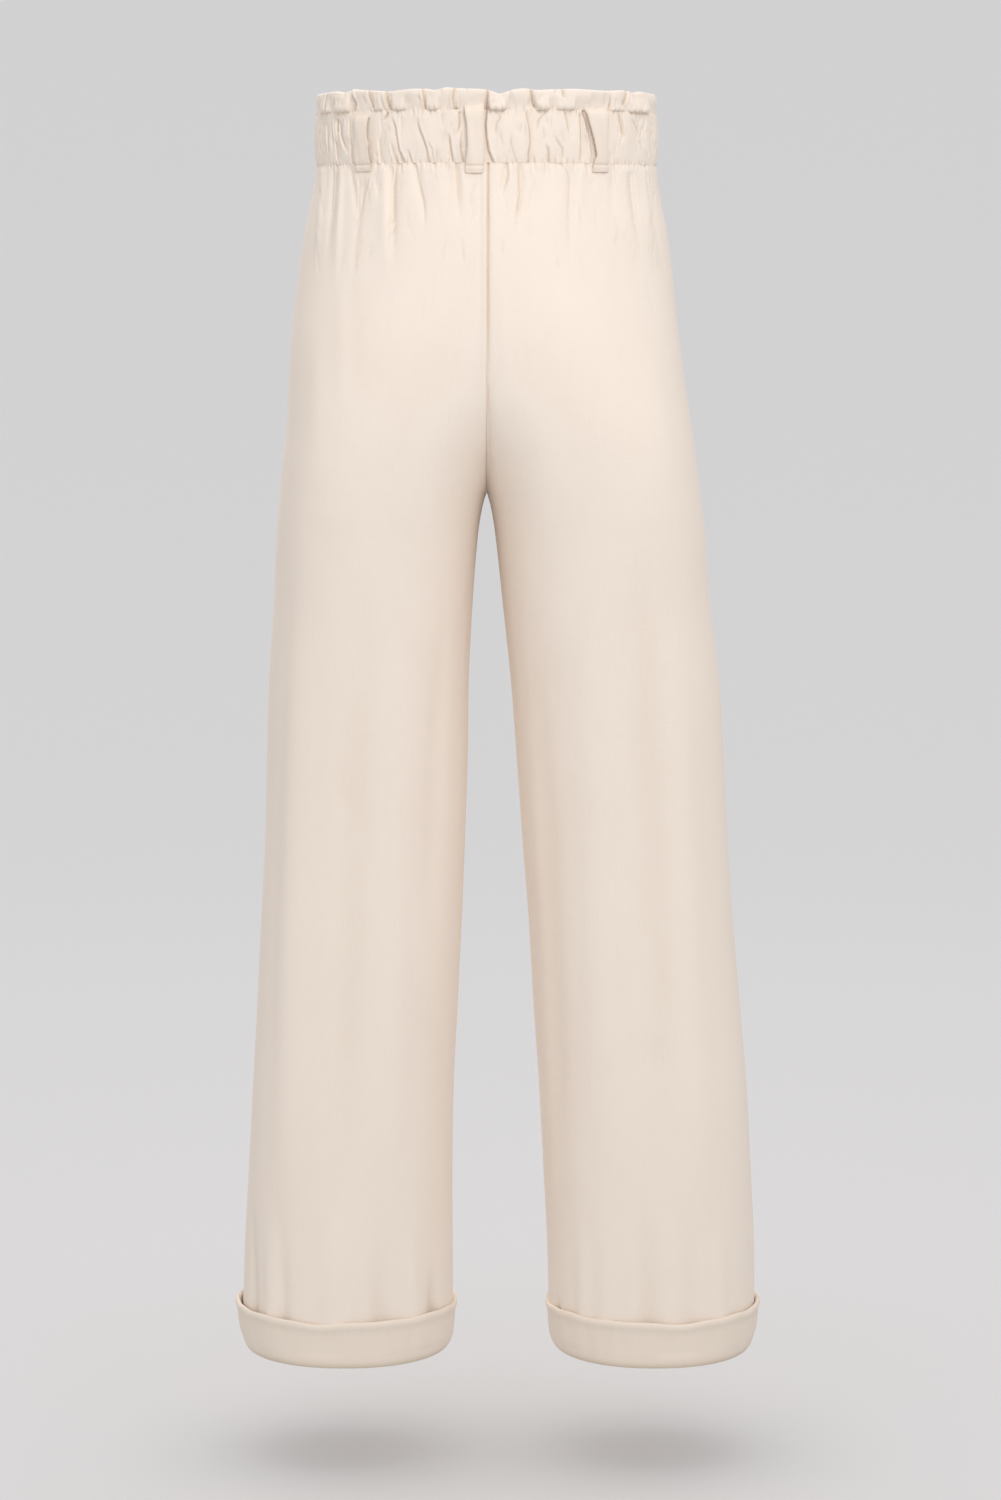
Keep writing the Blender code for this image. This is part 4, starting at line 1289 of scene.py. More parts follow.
@dataclass
class Panel:
    """One of the four body panels: half a leg and a quarter of the body above it."""

    side: Side
    end: End
    columns: int = 96
    crowding: float = 0.45  # how much closer the columns stand at the panel's edges
    fine_to: tuple[float, ...] = (0.1150, 0.0420)  # how far below the casing the columns are halved
    top: float = CASING_LOW.z
    bottom: float = HEM + 0.0140  # it ends inside the roll of its cuff
    first_row: float = 0.0009
    wider_rows: tuple[tuple[float, float], ...] = ((0.0009, 0.060), (0.0040, 0.300))  # growth, its drop
    crotch_rows: float = 0.65  # how much closer the rows stand at the crotch
    crotch_reach: float = 0.012
    crotch_blend: float = 0.010  # how far above the crotch the centre seams take over from the inseams
    seam_roll: float = 0.0010
    seam_gap: float = 0.00005
    seam_hold: float = 0.0060  # how far from the centre seam its edge is held to the middle
    centre_lap: float = 0.0008
    centre_sink: float = 0.0007
    pucker: float = 0.00040
    pucker_pitch: float = 0.0078
    pucker_from: float = -0.1640
    pucker_to: float = -0.2290
    pucker_fade: float = 0.008
    hem_tuck: float = 0.0050  # how far the leg draws in inside its cuff
    tuck_from: float = -0.9400
    tuck_reach: float = 0.030
    rest: float = 0.0006  # how far its top stands out, flush with the casing
    rest_reach: float = 0.012
    gather_reach: float = 0.0060  # how far below the casing its folds are fully grown
    loop_reach: float = 0.012  # how far the belt loops' ends press it flat
    line_to: float = 0.210  # how far down its creases still show a painted shade line
    line_fade: float = 0.080
    by_seam: float = 0.010  # how near the centre seam the painted shade lines run on all the way down
    # painted shade along crease lines, then painted shade in the hollows of folds
    line_tint: float = 0.50
    hollow_tint: float = 0.10
    hollow: float = 0.0030  # the depth that shows all of that painted shade
    fullness: float = 1.04  # the flat width for each unit of the widest girth

    def levels(self) -> np.ndarray:
        """The heights of the net's rows, close together below the casing.

        Returns:
            The heights, from the top down.
        """
        heights = [self.top]
        while heights[-1] > self.bottom:
            drop = self.top - heights[-1]
            step = self.first_row
            for growth, reach in self.wider_rows:
                step += growth * min(drop / reach, 1.0)
            step *= 1.0 - self.crotch_rows * bell(heights[-1] - CROTCH, self.crotch_reach)
            heights.append(heights[-1] - step)
        heights[-1] = self.bottom
        return np.array(heights)

    def seam_relief(self, places: Places) -> np.ndarray:
        """How the panel's four edges are drawn in or lapped at their seams.

        Args:
            places: the panel's points.

        Returns:
            The lift at each point.
        """
        z = places.points[:, 2]
        across = np.abs(places.points[:, 0])
        inner, outer = places.along, places.width - places.along
        above = smooth((z - CROTCH) / self.crotch_blend)
        inseam = grooved(PLAIN_SEAM, inner) * (1.0 - above)
        lift = -self.seam_roll * (grooved(SIDE_SEAM, outer) + inseam)
        if self.end is End.FRONT:
            return lift - self.seam_roll * above * grooved(PLAIN_SEAM, inner)
        if self.side is Side.RIGHT:
            return lift - self.centre_sink * above * grooved(UNDER_SEAM, across)
        lift += self.centre_lap * above * grooved(LAPPED_SEAM, across)
        band = smooth((across - 0.0010) / 0.0014) * smooth((0.0118 - across) / 0.0040)
        stretch = smooth((self.pucker_from - z) / self.pucker_fade)
        stretch = stretch * smooth((z - self.pucker_to) / self.pucker_fade)
        return lift + self.pucker * band * stretch * np.cos(2.0 * np.pi * z / self.pucker_pitch)

    def relief(self, places: Places) -> tuple[np.ndarray, np.ndarray]:
        """How the panel's folds, creases and seams lift it off its plain form.

        Args:
            places: the panel's points.

        Returns:
            The lift at each point, and how dark the painted shade lines make each point.
        """
        drop = self.top - places.points[:, 2]
        back = self.end is End.BACK
        folds = BACK_FOLDS + LEG_FOLDS + HEM_FOLDS if back else FRONT_FOLDS
        drawn = folded(tuple(fold for fold in folds if fold.top * self.side.value > 0), places)
        creases = BACK_CREASES + SEAM_CREASES if back else FRONT_CREASES
        seed = self.end.value
        creases += Gathers(WAIST_STITCH + seed, self.top, -1, (0.004, 0.014)).creases()
        for crumples in (
            Crumples(50 + seed, 90, self.top, -0.11, (0.010, 0.034), crowded=1.7),
            Crumples(70 + seed, 60, -0.06, -0.30, (0.020, 0.070), (0.0001, 0.0003), (0.003, 0.007)),
            Crumples(60 + seed, 80, -0.28, -0.93, (0.030, 0.110), (0.0002, 0.0006), (0.004, 0.009), 0.20),
        ):
            creases += crumples.creases()
        sharp, line = creased(creases, places)
        pressed = 1.0 - smooth(drop / self.loop_reach - 0.6)
        keep = 1.0 - (1.0 - under_loops(self.end, places.points[:, 0])) * pressed
        lift = drawn * smooth(drop / self.gather_reach) + sharp
        tuck = self.hem_tuck * smooth((self.tuck_from - places.points[:, 2]) / self.tuck_reach)
        flush = self.rest * bell(drop, self.rest_reach)
        by_seam = np.abs(places.points[:, 0]) < self.by_seam
        line *= np.where(by_seam, 1.0, smooth((self.line_to - drop) / self.line_fade))
        return lift * keep + self.seam_relief(places) + flush - tuck, line * keep

    def build(self, finish: TwillFinish) -> bpy.types.Object:
        """Make the panel.

        Args:
            finish: the finish that it gets.

        Returns:
            The panel's object.
        """
        levels = self.levels()
        rows = len(levels) - 1
        net = ClothNet(self.columns, rows)
        for depth in self.fine_to:
            net.refine(np.searchsorted(self.top - levels, depth) / rows)
        column, row = net.corners()
        share = column - self.crowding * np.sin(2.0 * np.pi * column) / (2.0 * np.pi)
        z = np.interp(row * rows, np.arange(rows + 1), levels)
        places = FORM.panel(self.side, self.end, share, z)
        lift, line = self.relief(places)
        points = places.points + places.outward * lift[:, None]
        plain = places.points[:, 0] * self.side.value
        free = np.where(z > CROTCH, smooth(places.along / self.seam_hold), 1.0)
        across = np.maximum(plain + (points[:, 0] * self.side.value - plain) * free, 0.0) + self.seam_gap
        points[:, 0] = across * self.side.value
        net.lay(points)
        cut = np.stack((places.width - places.along, -z), axis=-1)
        order = np.argsort(z)
        flat = (float(places.width.max()) * self.fullness, float(self.top - z.min()))
        area = float(np.trapz(places.width[order], z[order]))
        piece = ClothPiece(
            f"cloth_{self.end.label}_{self.side.label}",
            f"{self.end.label}_{self.side.label}",
            Slot.PANEL,
            flat,
            min(area * 1.05, flat[0] * flat[1]),
            "hung",
            (f"casing_{self.end.label}",),
        )
        # painted shade: darker in the hollows of folds and along crease lines
        painted_shade_share = self.hollow_tint * np.clip(-lift / self.hollow, 0.0, 1.0) + self.line_tint * line
        return piece.finish(net, places.outward, cut, painted_shade_share, finish)


@dataclass
class Casing:
    """Half of the elastic casing, drawn in along both its edges."""

    end: End
    columns: int = 800
    rows: int = 32
    puff: float = 0.0012
    rest: float = 0.0007  # how far its edges stand out, flush with the cloth beside them
    low: float = CASING_LOW.z - 0.0002
    high: float = CASING_HIGH.z
    wall: float = 0.0012
    roundness: float = 0.9  # below 1, the puffs are flatter on top
    swell: float = 0.0006  # how much the puffs differ along the waist
    swell_pitch: float = 0.0210
    swell_drift: float = 0.0330
    sharpness: float = 1.25  # how deep its creases are drawn
    end_fade: float = 0.004  # how near the side seams they die away
    under_loop: float = 0.20  # the share of its creases that stays under the belt loops
    # painted shade along crease lines, then painted shade where the cloth sinks in
    line_tint: float = 0.80
    hollow_tint: float = 0.10
    hollow: float = 0.0030
    fullness: tuple[float, float] = (1.10, 1.15)  # the flat size for each unit of girth and of height

    def relief(self, places: Places, rise: np.ndarray) -> tuple[np.ndarray, np.ndarray]:
        """How the casing's puffs and creases lift it off its plain form.

        Args:
            places: the casing's points.
            rise: the share of the casing's height at which each lies.

        Returns:
            The lift at each point, and how dark the painted shade lines make each point.
        """
        seed = self.end.value
        creases = CASING_CREASES[self.end]
        length, shallow = (0.003, 0.010), (0.0003, 0.0010)
        creases += Gathers(WAIST_STITCH + seed, self.low, 1, length).creases()
        creases += Gathers(FRILL_STITCH + seed, self.high, -1, length, depth=shallow).creases()
        creases += Crumples(80 + seed, 110, self.high, self.low, (0.006, 0.020), (0.0002, 0.0008)).creases()
        sharp, line = creased(creases, places)
        puffed = np.sin(np.pi * np.clip(rise, 0.0, 1.0)) ** self.roundness
        drift = 1.7 * np.sin(places.along / self.swell_drift)
        swell = np.sin(2.0 * np.pi * places.along / self.swell_pitch + drift)
        body = self.rest + self.puff * puffed + self.swell * swell * puffed
        ends = smooth(np.minimum(places.along, places.width - places.along) / self.end_fade)
        free = under_loops(self.end, places.points[:, 0], 0.0100)
        keep = self.under_loop + (1.0 - self.under_loop) * free
        return body * (0.4 + 0.6 * keep) + self.sharpness * sharp * keep * ends, line * keep * ends

    def build(self, finish: TwillFinish) -> bpy.types.Object:
        """Make this half of the casing.

        Args:
            finish: the finish that it gets.

        Returns:
            The casing's object.
        """
        net = ClothNet(self.columns, self.rows)
        turn, rise = net.corners()
        z = self.low + (self.high - self.low) * rise
        places = FORM.waist(self.end, turn, z)
        lift, line = self.relief(places, rise)
        points = places.points + places.outward * lift[:, None]
        points[:, 1] += self.end.value * HALF_GAP
        net.lay(points)
        cut = np.stack((places.along * GATHERED, z), axis=-1)
        length, height = float(places.width[0]), self.high - self.low
        piece = ClothPiece(
            f"cloth_casing_{self.end.label}",
            f"casing_{self.end.label}",
            Slot.CASING,
            (length * self.fullness[0], height * self.fullness[1]),
            length * height * self.fullness[1],
            "gathered",
        )
        # painted shade: darker where the casing sinks below its puffs and along crease lines
        painted_shade_share = self.hollow_tint * np.clip((0.0010 - lift) / self.hollow, 0.0, 1.0) + self.line_tint * line
        return piece.finish(net, places.outward, cut, painted_shade_share, finish, self.wall)


@dataclass
class Frill:
    """Half of the frill: a doubled strip that stands above the casing and puffs between its folds."""

    end: End
    columns: int = 600
    rows: int = 30
    belly: float = 0.0050  # how far its outer layer stands out
    back: float = 0.0022  # how far in its inner layer hangs
    crown: float = 0.0015  # height of the soft fold along its top
    droop: float = 0.0012  # how far a scallop hangs over the casing
    bottom: float = CASING_HIGH.z - 0.0001
    side_rise: float = 0.0030  # how much taller it stands at the side seams
    narrow: float = 0.032  # the share by which its top draws in at the side seams
    wall: float = 0.0009
    base: float = 0.0007  # how far its foot stands out, flush with the casing
    wave: float = 0.0006  # how much its puffs differ along the waist
    soft_limit: float = 0.0028  # where its belly starts to flatten
    foot_tuck: float = 0.0012  # how far a scallop's foot turns in under it
    edge_soft: float = 0.0018  # half the width over which its top edge is evened
    end_fade: float = 0.010
    under_loop: float = 0.15  # the share of its belly that stays under the belt loops
    upright: float = 0.38  # the share of the strip in each of its layers
    sharpness: float = 1.15
    inner_sharpness: float = 0.6  # how much of that reaches its inner layer
    # painted shade along crease lines, then painted shadow on the foot under each hanging scallop
    line_tint: float = 0.85
    foot_tint: float = 0.35
    strip: float = 0.045  # height of the flat strip that it is folded from
    fullness: tuple[float, float] = (1.10, 1.12)

    def hanging(self, across: np.ndarray) -> np.ndarray:
        """How far each place hangs over the gathering stitch, from 0 to 1."""
        spans = (
            span.hang * smooth((across - span.right) / 0.0022) * smooth((span.left - across) / 0.0022)
            for span in SCALLOPS[self.end]
        )
        return np.max(list(spans), axis=0)

    def section(self, round_it: np.ndarray) -> tuple[np.ndarray, np.ndarray, np.ndarray]:
        """Where each row lies on the frill's folded section.

        Args:
            round_it: the share of the way round the section, from its foot outside to its foot inside.

        Returns:
            The height as a share of the upright part, and the outward and the upward part of how far
            round the top fold it is.
        """
        up = np.clip(np.minimum(round_it, 1.0 - round_it) / self.upright, 0.0, 1.0)
        turned = np.clip((round_it - self.upright) / (1.0 - 2.0 * self.upright), 0.0, 1.0) * np.pi
        return up, np.cos(turned), np.sin(turned)

    def build(self, finish: TwillFinish) -> bpy.types.Object:
        """Make this half of the frill.

        Args:
            finish: the finish that it gets.

        Returns:
            The frill's object.
        """
        net = ClothNet(self.columns, self.rows)
        turn, round_it = net.corners()
        up, outside, crowned = self.section(round_it)
        places = FORM.waist(self.end, turn, np.zeros_like(turn))
        across = places.points[:, 0]
        edge = np.array(FRILL_EDGE[self.end][::-1])
        smoothed = np.linspace(-self.edge_soft, self.edge_soft, 5)[:, None] + across[None, :]
        top = np.interp(smoothed, edge[:, 0], edge[:, 1]).mean(axis=0) - self.crown
        top += self.side_rise * (1.0 - np.abs(np.sin(np.pi * turn)))
        hang = self.hanging(across)
        z = self.bottom + (top - self.bottom) * up + self.crown * crowned
        z -= self.droop * hang * bell(up - 0.12, 0.16) * (round_it < 0.5)
        places.points[:, 2] = z
        creases = FRILL_CREASES[self.end]
        seed = self.end.value
        creases += Gathers(FRILL_STITCH + seed, self.bottom, 1, (0.002, 0.006)).creases()
        creases += Crumples(90 + seed, 70, 0.037, self.bottom, (0.004, 0.012), (0.0002, 0.0007)).creases()
        sharp, line = creased(creases, places)
        quick = np.sqrt(1.0 - (1.0 - np.clip(up / 0.30, 0.0, 1.0)) ** 2)
        slow = smooth(up / 0.95)
        ends = smooth(np.minimum(places.along, places.width - places.along) / self.end_fade)
        keep = self.under_loop + (1.0 - self.under_loop) * under_loops(self.end, across, 0.0085)
        wave = self.wave * np.sin(places.along / 0.0068 + 2.0 * np.sin(places.along / 0.017))
        swell = (self.belly + wave) * (hang * quick + (1.0 - hang) * slow) * (1.0 - 0.30 * up)
        outer = self.base + swell * (0.05 + 0.95 * ends) * (keep + (1.0 - keep) * up)
        outer = np.minimum(outer, self.soft_limit + 0.5 * outer)
        outer -= self.foot_tuck * hang * (1.0 - smooth(up / 0.12))
        inner = np.full_like(up, -self.back)
        middle, half = (outer + inner) / 2.0, (outer - inner) / 2.0
        reaching = np.where(round_it < 1.0 - self.upright, 1.0, self.inner_sharpness)
        out = middle + half * outside + self.sharpness * sharp * ends * reaching
        points = places.points + places.outward * out[:, None]
        points[:, 0] *= 1.0 - self.narrow * up * (np.abs(across) / WAIST.left) ** 4
        points[:, 1] += self.end.value * HALF_GAP
        net.lay(points)
        ways = places.outward * outside[:, None]
        ways[:, 2] = crowned
        cut = np.stack((across * GATHERED, round_it * self.strip), axis=-1)
        length, height = float(places.width[0]), 2.0 * (float(top.max()) - self.bottom)
        piece = ClothPiece(
            f"cloth_frill_{self.end.label}",
            f"frill_{self.end.label}",
            Slot.CASING,
            (length * self.fullness[0], height * self.fullness[1]),
            length * height * 1.20,
            "gathered",
        )
        # painted shadow on the foot under each scallop that hangs over the casing, and painted shade lines
        # in its creases
        foot = hang * (1.0 - smooth(up / 0.10)) * (round_it < 0.5)
        painted_shade_share = self.line_tint * line + self.foot_tint * foot
        return piece.finish(net, ways, cut, painted_shade_share, finish, self.wall)


@dataclass
class BeltLoop:
    """A belt loop, folded from a strip and sewn on at its top and its bottom."""

    plan: LoopPlan
    columns: int = 14
    rows: int = 60
    wall: float = 0.0015
    rest: float = 0.0009  # how far its inner face stays off the waist's plain form
    arch: float = 0.0018  # how much further its middle stands off than its ends
    flare: float = 0.17  # how far out it leans with each unit of drop below the casing
    frill_lean: float = 0.7  # how far out it leans with each unit of height above the casing
    frill_most: float = 0.0016
    edge_roll: float = 0.0004
    top_tuck: float = 0.0050  # how far its top turns in behind the frill
    bottom_tuck: float = 0.0009
    stitch: float = 0.885  # where its lower row of stitching lies, from its top down
    stitch_sink: float = 0.0006
    below_stitch: float = 0.935
    below_puff: float = 0.0004
    tints: tuple[float, float, float] = (0.10, 0.25, 0.35)  # shade colour all over, then painted shade along its rolled edges and in the stitching's groove
    bevel: float = 0.00035
    turned_in: tuple[float, float] = (1.08, 1.04)  # its flat width and length for each unit that shows

    def build(self, finish: TwillFinish) -> bpy.types.Object:
        """Make the loop.

        Args:
            finish: the finish that it gets.

        Returns:
            The loop's object.
        """
        plan = self.plan
        net = ClothNet(self.columns, self.rows)
        column, down = net.corners()
        z = plan.top + (plan.bottom - plan.top) * down
        left, right = (
            np.interp(-z, [-height for _, height in edge], [across for across, _ in edge])
            for edge in (plan.left, plan.right)
        )
        across = left + (right - left) * column
        places = FORM.waist(plan.end, np.arccos(across / WAIST.left) / np.pi, z)
        flare = np.maximum(CASING_LOW.z - z, 0.0) * self.flare
        over = np.maximum(z - CASING_HIGH.z, 0.0)
        arch = self.arch * smooth(5.0 * np.minimum(down, 1.0 - down))
        edges = np.abs(2.0 * column - 1.0) ** 5
        lifted = (plan.lift[0] * (1.0 - column) + plan.lift[1] * column) * np.sin(np.pi * down)
        out = self.rest + self.wall + flare + arch + lifted
        out += np.minimum(over * self.frill_lean, self.frill_most)
        tucked = self.top_tuck * (1.0 - smooth(down / 0.12))
        out -= self.edge_roll * edges + tucked + self.bottom_tuck * bell(1.0 - down, 0.010)
        sunk = self.stitch_sink * bell(down - self.stitch, 0.012)
        out -= sunk - self.below_puff * bell(down - self.below_stitch, 0.020)
        out += 0.00015 * np.sin(across / 0.0012 + 7.0 * down) + 0.0003 * np.sin(5.0 * down + across * 400.0)
        points = places.points + places.outward * out[:, None]
        net.lay(points)
        cut = np.stack((across, z), axis=-1)
        length = plan.top - plan.bottom
        width = abs(plan.left[-1][0] - plan.right[-1][0]) * self.turned_in[0]
        piece = ClothPiece(
            f"cloth_loop_{plan.name}",
            f"belt_loop_{plan.name}",
            Slot.TRIM,
            (width, length * self.turned_in[1]),
            width * length * 1.03,
            "stretched",
            (f"cloth_casing_{plan.end.label}",),
        )
        # painted shade along the loop's rolled edges and in its stitching, on a little of the shade colour
        # all over
        plain, at_edges, in_stitching = self.tints
        painted_shade_share = plain + at_edges * edges + in_stitching * bell(down - self.stitch, 0.008)
        made = piece.finish(net, places.outward, cut, painted_shade_share, finish, self.wall)
        soft = made.modifiers.new("soft_edges", "BEVEL")
        soft.width = self.bevel
        soft.segments = 2
        soft.limit_method = "ANGLE"
        return made


CUFF_OUTLINE = (  # how far round, how far out in walls, how high
    (0.00, 0.00, 0.940), (0.03, 0.25, 0.975), (0.06, 0.60, 0.995), (0.09, 0.95, 1.000),
    (0.12, 1.34, 0.980), (0.15, 1.56, 0.938), (0.18, 1.52, 0.885), (0.22, 1.16, 0.815),
    (0.27, 0.98, 0.735), (0.36, 0.98, 0.500), (0.43, 1.06, 0.320), (0.49, 1.10, 0.150),
    (0.53, 1.04, 0.065), (0.56, 0.86, 0.016), (0.59, 0.60, 0.000), (0.63, 0.30, -0.004),
    (0.67, 0.00, 0.004), (0.70, -0.30, 0.010), (0.74, -0.42, 0.045), (0.78, -0.30, 0.085),
    (0.82, -0.02, 0.095), (0.86, 0.00, 0.200), (0.93, 0.00, 0.600), (1.00, 0.00, 0.940),
)
CUFF_GAPS = {  # how far the rim stands off the leg, at degrees round from the outside by way of the back
    Side.LEFT: (
        (0.0, 0.0014), (28.0, 0.0010), (70.0, 0.0006), (110.0, 0.0002), (150.0, -0.0002),
        (176.0, -0.0008), (205.0, 0.0004), (250.0, 0.0008), (300.0, 0.0010), (338.0, 0.0012),
        (360.0, 0.0014),
    ),
    Side.RIGHT: (
        (0.0, -0.0002), (30.0, 0.0004), (70.0, 0.0004), (115.0, 0.0002), (150.0, -0.0004),
        (178.0, -0.0014), (210.0, 0.0000), (255.0, 0.0006), (300.0, 0.0008), (335.0, 0.0004),
        (360.0, -0.0002),
    ),
}


@dataclass
class Cuff:
    """A turned-up cuff: the leg's cloth folded up twice, a soft roll that stands a little off the leg."""

    side: Side
    columns: int = 264
    rows: int = 44
    wall: float = 0.0026
    taper: float = 0.0022  # how far its bottom draws in
    rounded: float = 0.0050  # how much further it draws in at its two ends
    bottom: float = CUFF_LOW.z
    top: float = CUFF_HIGH.z
    seat: float = 0.0004  # how far its inner face stays off the leg's plain form
    slack: tuple[float, float, float] = (0.0009, 0.0005, 0.0003)  # how its rim waves, broad to fine
    rim_share: float = 1.2  # how much of that lifts the rim
    stand_share: float = 0.5  # how much of it leans the rim out
    crumple: float = 0.00025
    radius: float = 0.088  # the leg's mean radius at the hem
    round_share: float = 0.97  # its girth for each unit of a circle's
    fullness: float = 1.1  # its flat height for each unit that shows
    # painted shade along the bottom edge, where the roll turns under, then a little of the shade colour all
    # over
    edge_tint: float = 0.5
    plain_tint: float = 0.15

    def outline(self, turned: np.ndarray) -> tuple[np.ndarray, np.ndarray]:
        """The closed outline of the roll.

        Args:
            turned: how far round the outline each point is, from the inside of the top rim outwards.

        Returns:
            How far out each point is, in walls, and how high, as a share of the cuff's height.
        """
        where, out, high = np.array(CUFF_OUTLINE).T
        return np.interp(turned, where, out), np.interp(turned, where, high)

    def build(self, finish: TwillFinish) -> bpy.types.Object:
        """Make the cuff.

        Args:
            finish: the finish that it gets.

        Returns:
            The cuff's object.
        """
        net = ClothNet(self.columns, self.rows)
        turn, turned = net.corners()
        angle = 2.0 * np.pi * turn
        out, high = self.outline(turned)
        gap = np.interp(np.degrees(angle), *np.array(CUFF_GAPS[self.side]).T)
        stand = gap * smooth((high - 0.05) / 0.9)
        broad, middling, fine = self.slack
        slack = broad * np.sin(3.0 * angle + 0.8) + middling * np.sin(7.0 * angle + 2.0)
        slack += fine * np.sin(17.0 * angle + 3.0 * np.sin(2.0 * angle))
        z = self.bottom + (self.top - self.bottom) * high + slack * high * self.rim_share
        level = np.clip(z, HEM, None)
        back, front = (FORM.oval(self.side, end, level) for end in End)
        middle, half, square = back[0], back[1], back[3]
        depth = np.where(np.sin(angle) > 0, back[2], front[2])
        reach = np.abs(np.cos(angle) / half) ** square + np.abs(np.sin(angle) / depth) ** square
        distance = reach ** (-1.0 / square)
        below = 1.0 - high.clip(0.0, 1.0)
        taper = self.taper * below**1.3 + self.rounded * np.abs(np.cos(angle)) ** 3 * below**4
        thick = out * self.wall + stand + self.seat - taper + slack * self.stand_share * (high > 0.3)
        crumpled = self.crumple * np.sin(angle * 23.0 + 4.0 * np.sin(angle * 3.0))
        thick += crumpled * np.sin(np.pi * high.clip(0.0, 1.0))
        flat_x, flat_y = np.cos(angle), np.sin(angle)
        normal_x, normal_y = flat_x / half**2 * distance, flat_y / depth**2 * distance
        size = np.hypot(normal_x, normal_y)
        across = middle + distance * flat_x + thick * normal_x / size
        away = FORM.value("seam", level) + distance * flat_y + thick * normal_y / size
        points = np.stack((self.side.value * across, away, z), axis=-1)
        net.lay(points)
        bmesh.ops.remove_doubles(net.shape, verts=net.shape.verts, dist=WELD)
        bmesh.ops.recalc_face_normals(net.shape, faces=net.shape.faces)
        return self.dress(net, finish)

    def dress(self, net: ClothNet, finish: TwillFinish) -> bpy.types.Object:
        """Turn the closed roll into the piece.

        Args:
            net: the roll.
            finish: the finish that it gets.

        Returns:
            The cuff's object.
        """
        points = np.array([vert.co[:] for vert in net.shape.verts])
        normals = np.array([vert.normal[:] for vert in net.shape.verts])
        middle = FORM.oval(self.side, End.BACK, np.array([self.bottom]))[0][0] * self.side.value
        angle = np.arctan2(points[:, 1], (points[:, 0] - middle) * self.side.value)
        girth = 2.0 * math.pi * self.radius * self.round_share
        height = self.top - self.bottom
        cut = np.stack((angle * self.radius, points[:, 2] + 0.2), axis=-1)
        # painted shade: darker along the bottom edge, on a little of the shade colour all over
        painted_shade_share = self.plain_tint + self.edge_tint * bell(points[:, 2] - self.bottom, 0.004)
        piece = ClothPiece(
            f"cloth_cuff_{self.side.label}",
            f"cuff_{self.side.label}",
            Slot.CUFF,
            (girth, height * self.fullness),
            girth * height,
            "folded",
            (f"cloth_back_{self.side.label}", f"cloth_front_{self.side.label}"),
        )
        return piece.finish(net, normals, cut, painted_shade_share, finish, 0.0)


# ---------- The studio ----------


@dataclass(frozen=True)
class Lamp:
    """A soft area light that is aimed at a point."""

    name: str
    place: tuple[float, float, float]
    aim: tuple[float, float, float]
    size: float
    power: float
    colour: tuple[float, float, float] = (1.0, 0.985, 0.965)
    on_floor: bool = False

    def hang(self, garment: bpy.types.Collection) -> None:
        """Put the lamp in the studio.

        Args:
            garment: what the lamp lights, unless it lights the floor too.
        """
        data = bpy.data.lights.new(self.name, "AREA")
        data.shape = "SQUARE"
        data.size = self.size
        data.energy = self.power
        data.color = self.colour
        lamp = bpy.data.objects.new(self.name, data)
        lamp.location = self.place
        lamp.rotation_euler = (Vector(self.aim) - Vector(self.place)).to_track_quat("-Z", "Y").to_euler()
        if not self.on_floor:
            lamp.light_linking.receiver_collection = garment
        bpy.context.scene.collection.objects.link(lamp)


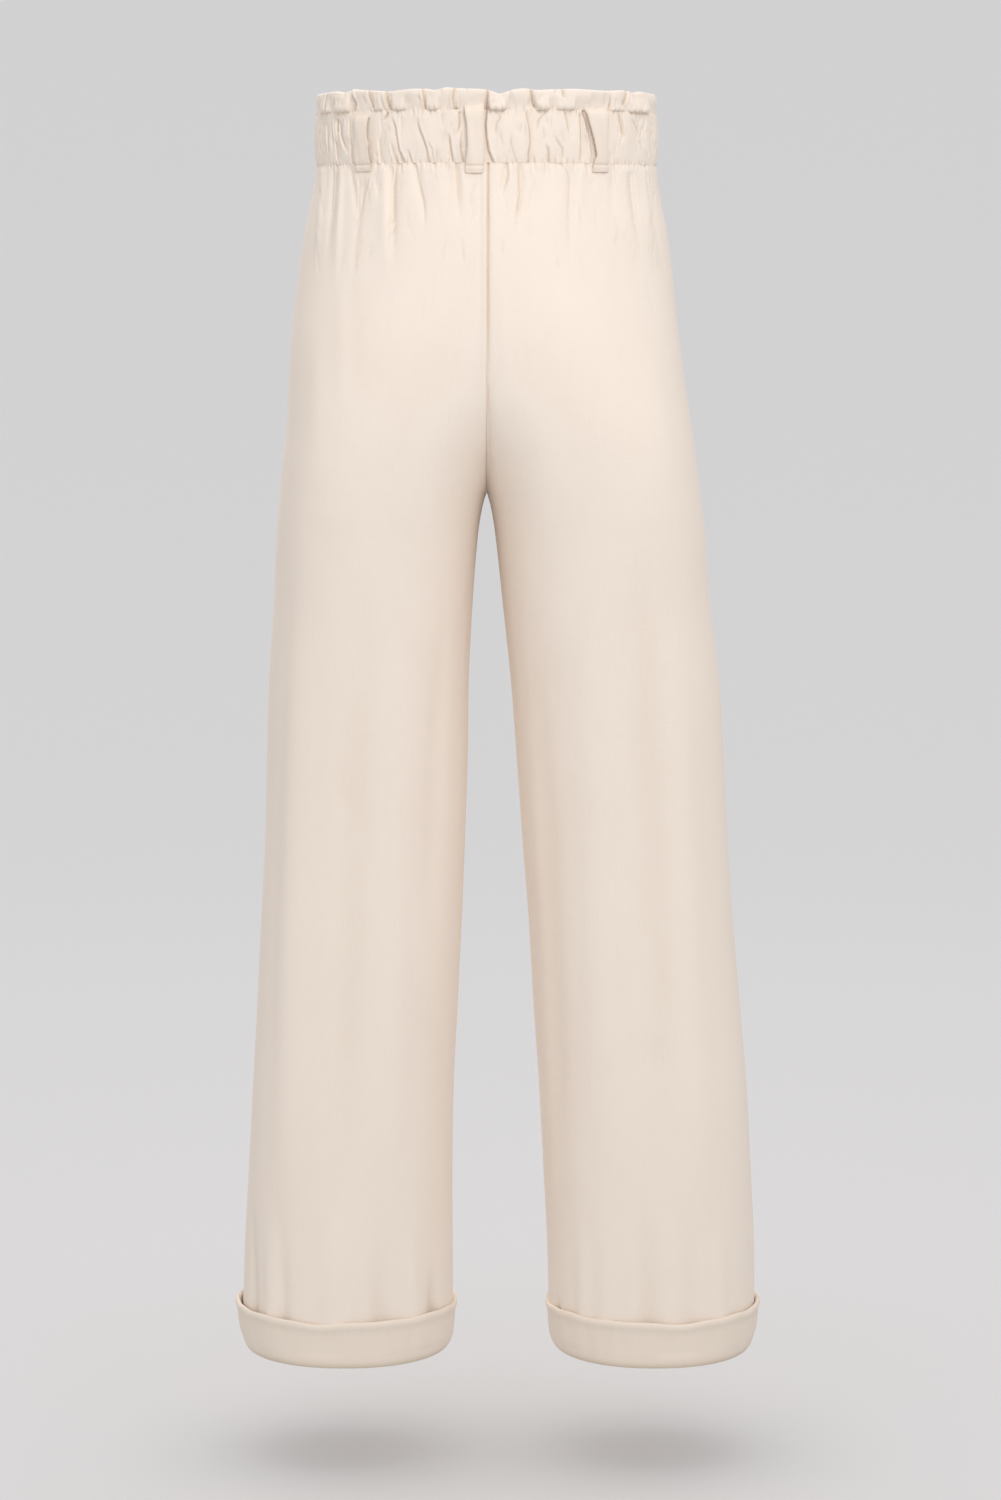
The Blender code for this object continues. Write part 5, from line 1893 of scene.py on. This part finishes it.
@dataclass
class Studio:
    """A pale floor that turns up into a wall all round, soft lamps, and the camera behind the wearer."""

    floor: float = HEM - 0.091
    flat: float = 3.0  # how far the floor is level
    turn: float = 3.6  # radius of its upturned edge
    height: float = 9.0
    camera: tuple[float, float, float] = (-0.011, 2.88, -0.109)
    pitch: float = math.radians(7.44)
    lens: float = 86.4
    ambient: float = 0.68
    air: tuple[float, float, float, float] = (0.99, 0.985, 0.985, 1.0)
    turn_steps: int = 14
    spin_steps: int = 96
    lamps: tuple[Lamp, ...] = (
        Lamp("key", (-0.5, 1.9, 1.2), (0.0, 0.0, -0.2), 1.1, 24.0),
        Lamp("low", (1.8, 1.4, -0.7), (0.0, 0.0, -0.6), 0.8, 1.8),
        Lamp("front", (0.6, -1.9, 1.2), (0.0, 0.0, -0.2), 1.1, 22.0),
        Lamp("overhead", (0.0, 0.0, 2.6), (0.0, 0.0, 0.0), 2.4, 12.0, on_floor=True),
    )

    def build(self, paint: StudioFinish, garment: bpy.types.Collection) -> None:
        """Set up the floor, lamps, air and camera.

        Args:
            paint: the floor's paint.
            garment: what the lamps light.
        """
        self.lay_floor(paint)
        for lamp in self.lamps:
            lamp.hang(garment)
        world = bpy.data.worlds.new("studio_air")
        world.use_nodes = True
        air = world.node_tree.nodes["Background"].inputs
        air["Color"].default_value = self.air
        air["Strength"].default_value = self.ambient
        bpy.context.scene.world = world
        bpy.context.scene.view_settings.view_transform = "Standard"
        self.place_camera()

    def lay_floor(self, paint: StudioFinish) -> None:
        """Spin the floor's outline into a wide shallow bowl, which lets the studio's even light through.

        Args:
            paint: the floor's paint.
        """
        shape = bmesh.new()
        angles = [math.pi / 2 * step / self.turn_steps for step in range(1, self.turn_steps + 1)]
        outline = [(0.001, self.floor), (self.flat, self.floor)]
        outline += [
            (self.flat + self.turn * math.sin(angle), self.floor + self.turn * (1.0 - math.cos(angle)))
            for angle in angles
        ]
        outline.append((self.flat + self.turn, self.floor + self.height))
        corners = [shape.verts.new((reach, 0.0, level)) for reach, level in outline]
        edges = [shape.edges.new(pair) for pair in zip(corners, corners[1:])]
        bmesh.ops.spin(
            shape,
            geom=corners + edges,
            cent=(0.0, 0.0, 0.0),
            axis=(0.0, 0.0, 1.0),
            angle=2.0 * math.pi,
            steps=self.spin_steps,
            use_merge=True,
        )
        bmesh.ops.remove_doubles(shape, verts=shape.verts, dist=0.002)
        mesh = bpy.data.meshes.new("studio_floor")
        shape.to_mesh(mesh)
        shape.free()
        mesh.shade_smooth()
        mesh.materials.append(paint.material())
        floor = bpy.data.objects.new("studio_floor", mesh)
        floor.visible_diffuse = False
        floor.visible_shadow = False
        bpy.context.scene.collection.objects.link(floor)

    def place_camera(self) -> None:
        """Put the camera behind the wearer, a little below the waist and looking slightly down."""
        data = bpy.data.cameras.new("camera")
        data.lens = self.lens
        camera = bpy.data.objects.new("camera", data)
        camera.location = self.camera
        camera.rotation_euler = (math.pi / 2 - self.pitch, 0.0, math.pi)
        bpy.context.scene.collection.objects.link(camera)
        bpy.context.scene.camera = camera


def main() -> None:
    """Build the studio and the garment, piece by piece."""
    logging.basicConfig(level=logging.INFO, format="%(name)s %(message)s")
    twill = TwillFinish()
    made = []
    for end in End:
        for side in Side:
            made.append(Panel(side, end).build(twill))
        made.append(Casing(end).build(twill))
        made.append(Frill(end).build(twill))
    for plan in LOOPS:
        made.append(BeltLoop(plan).build(twill))
    for side in Side:
        made.append(Cuff(side).build(twill))
    garment = bpy.data.collections.new("garment")
    for piece in made:
        garment.objects.link(piece)
    Studio().build(StudioFinish(), garment)


if __name__ == "__main__":
    main()
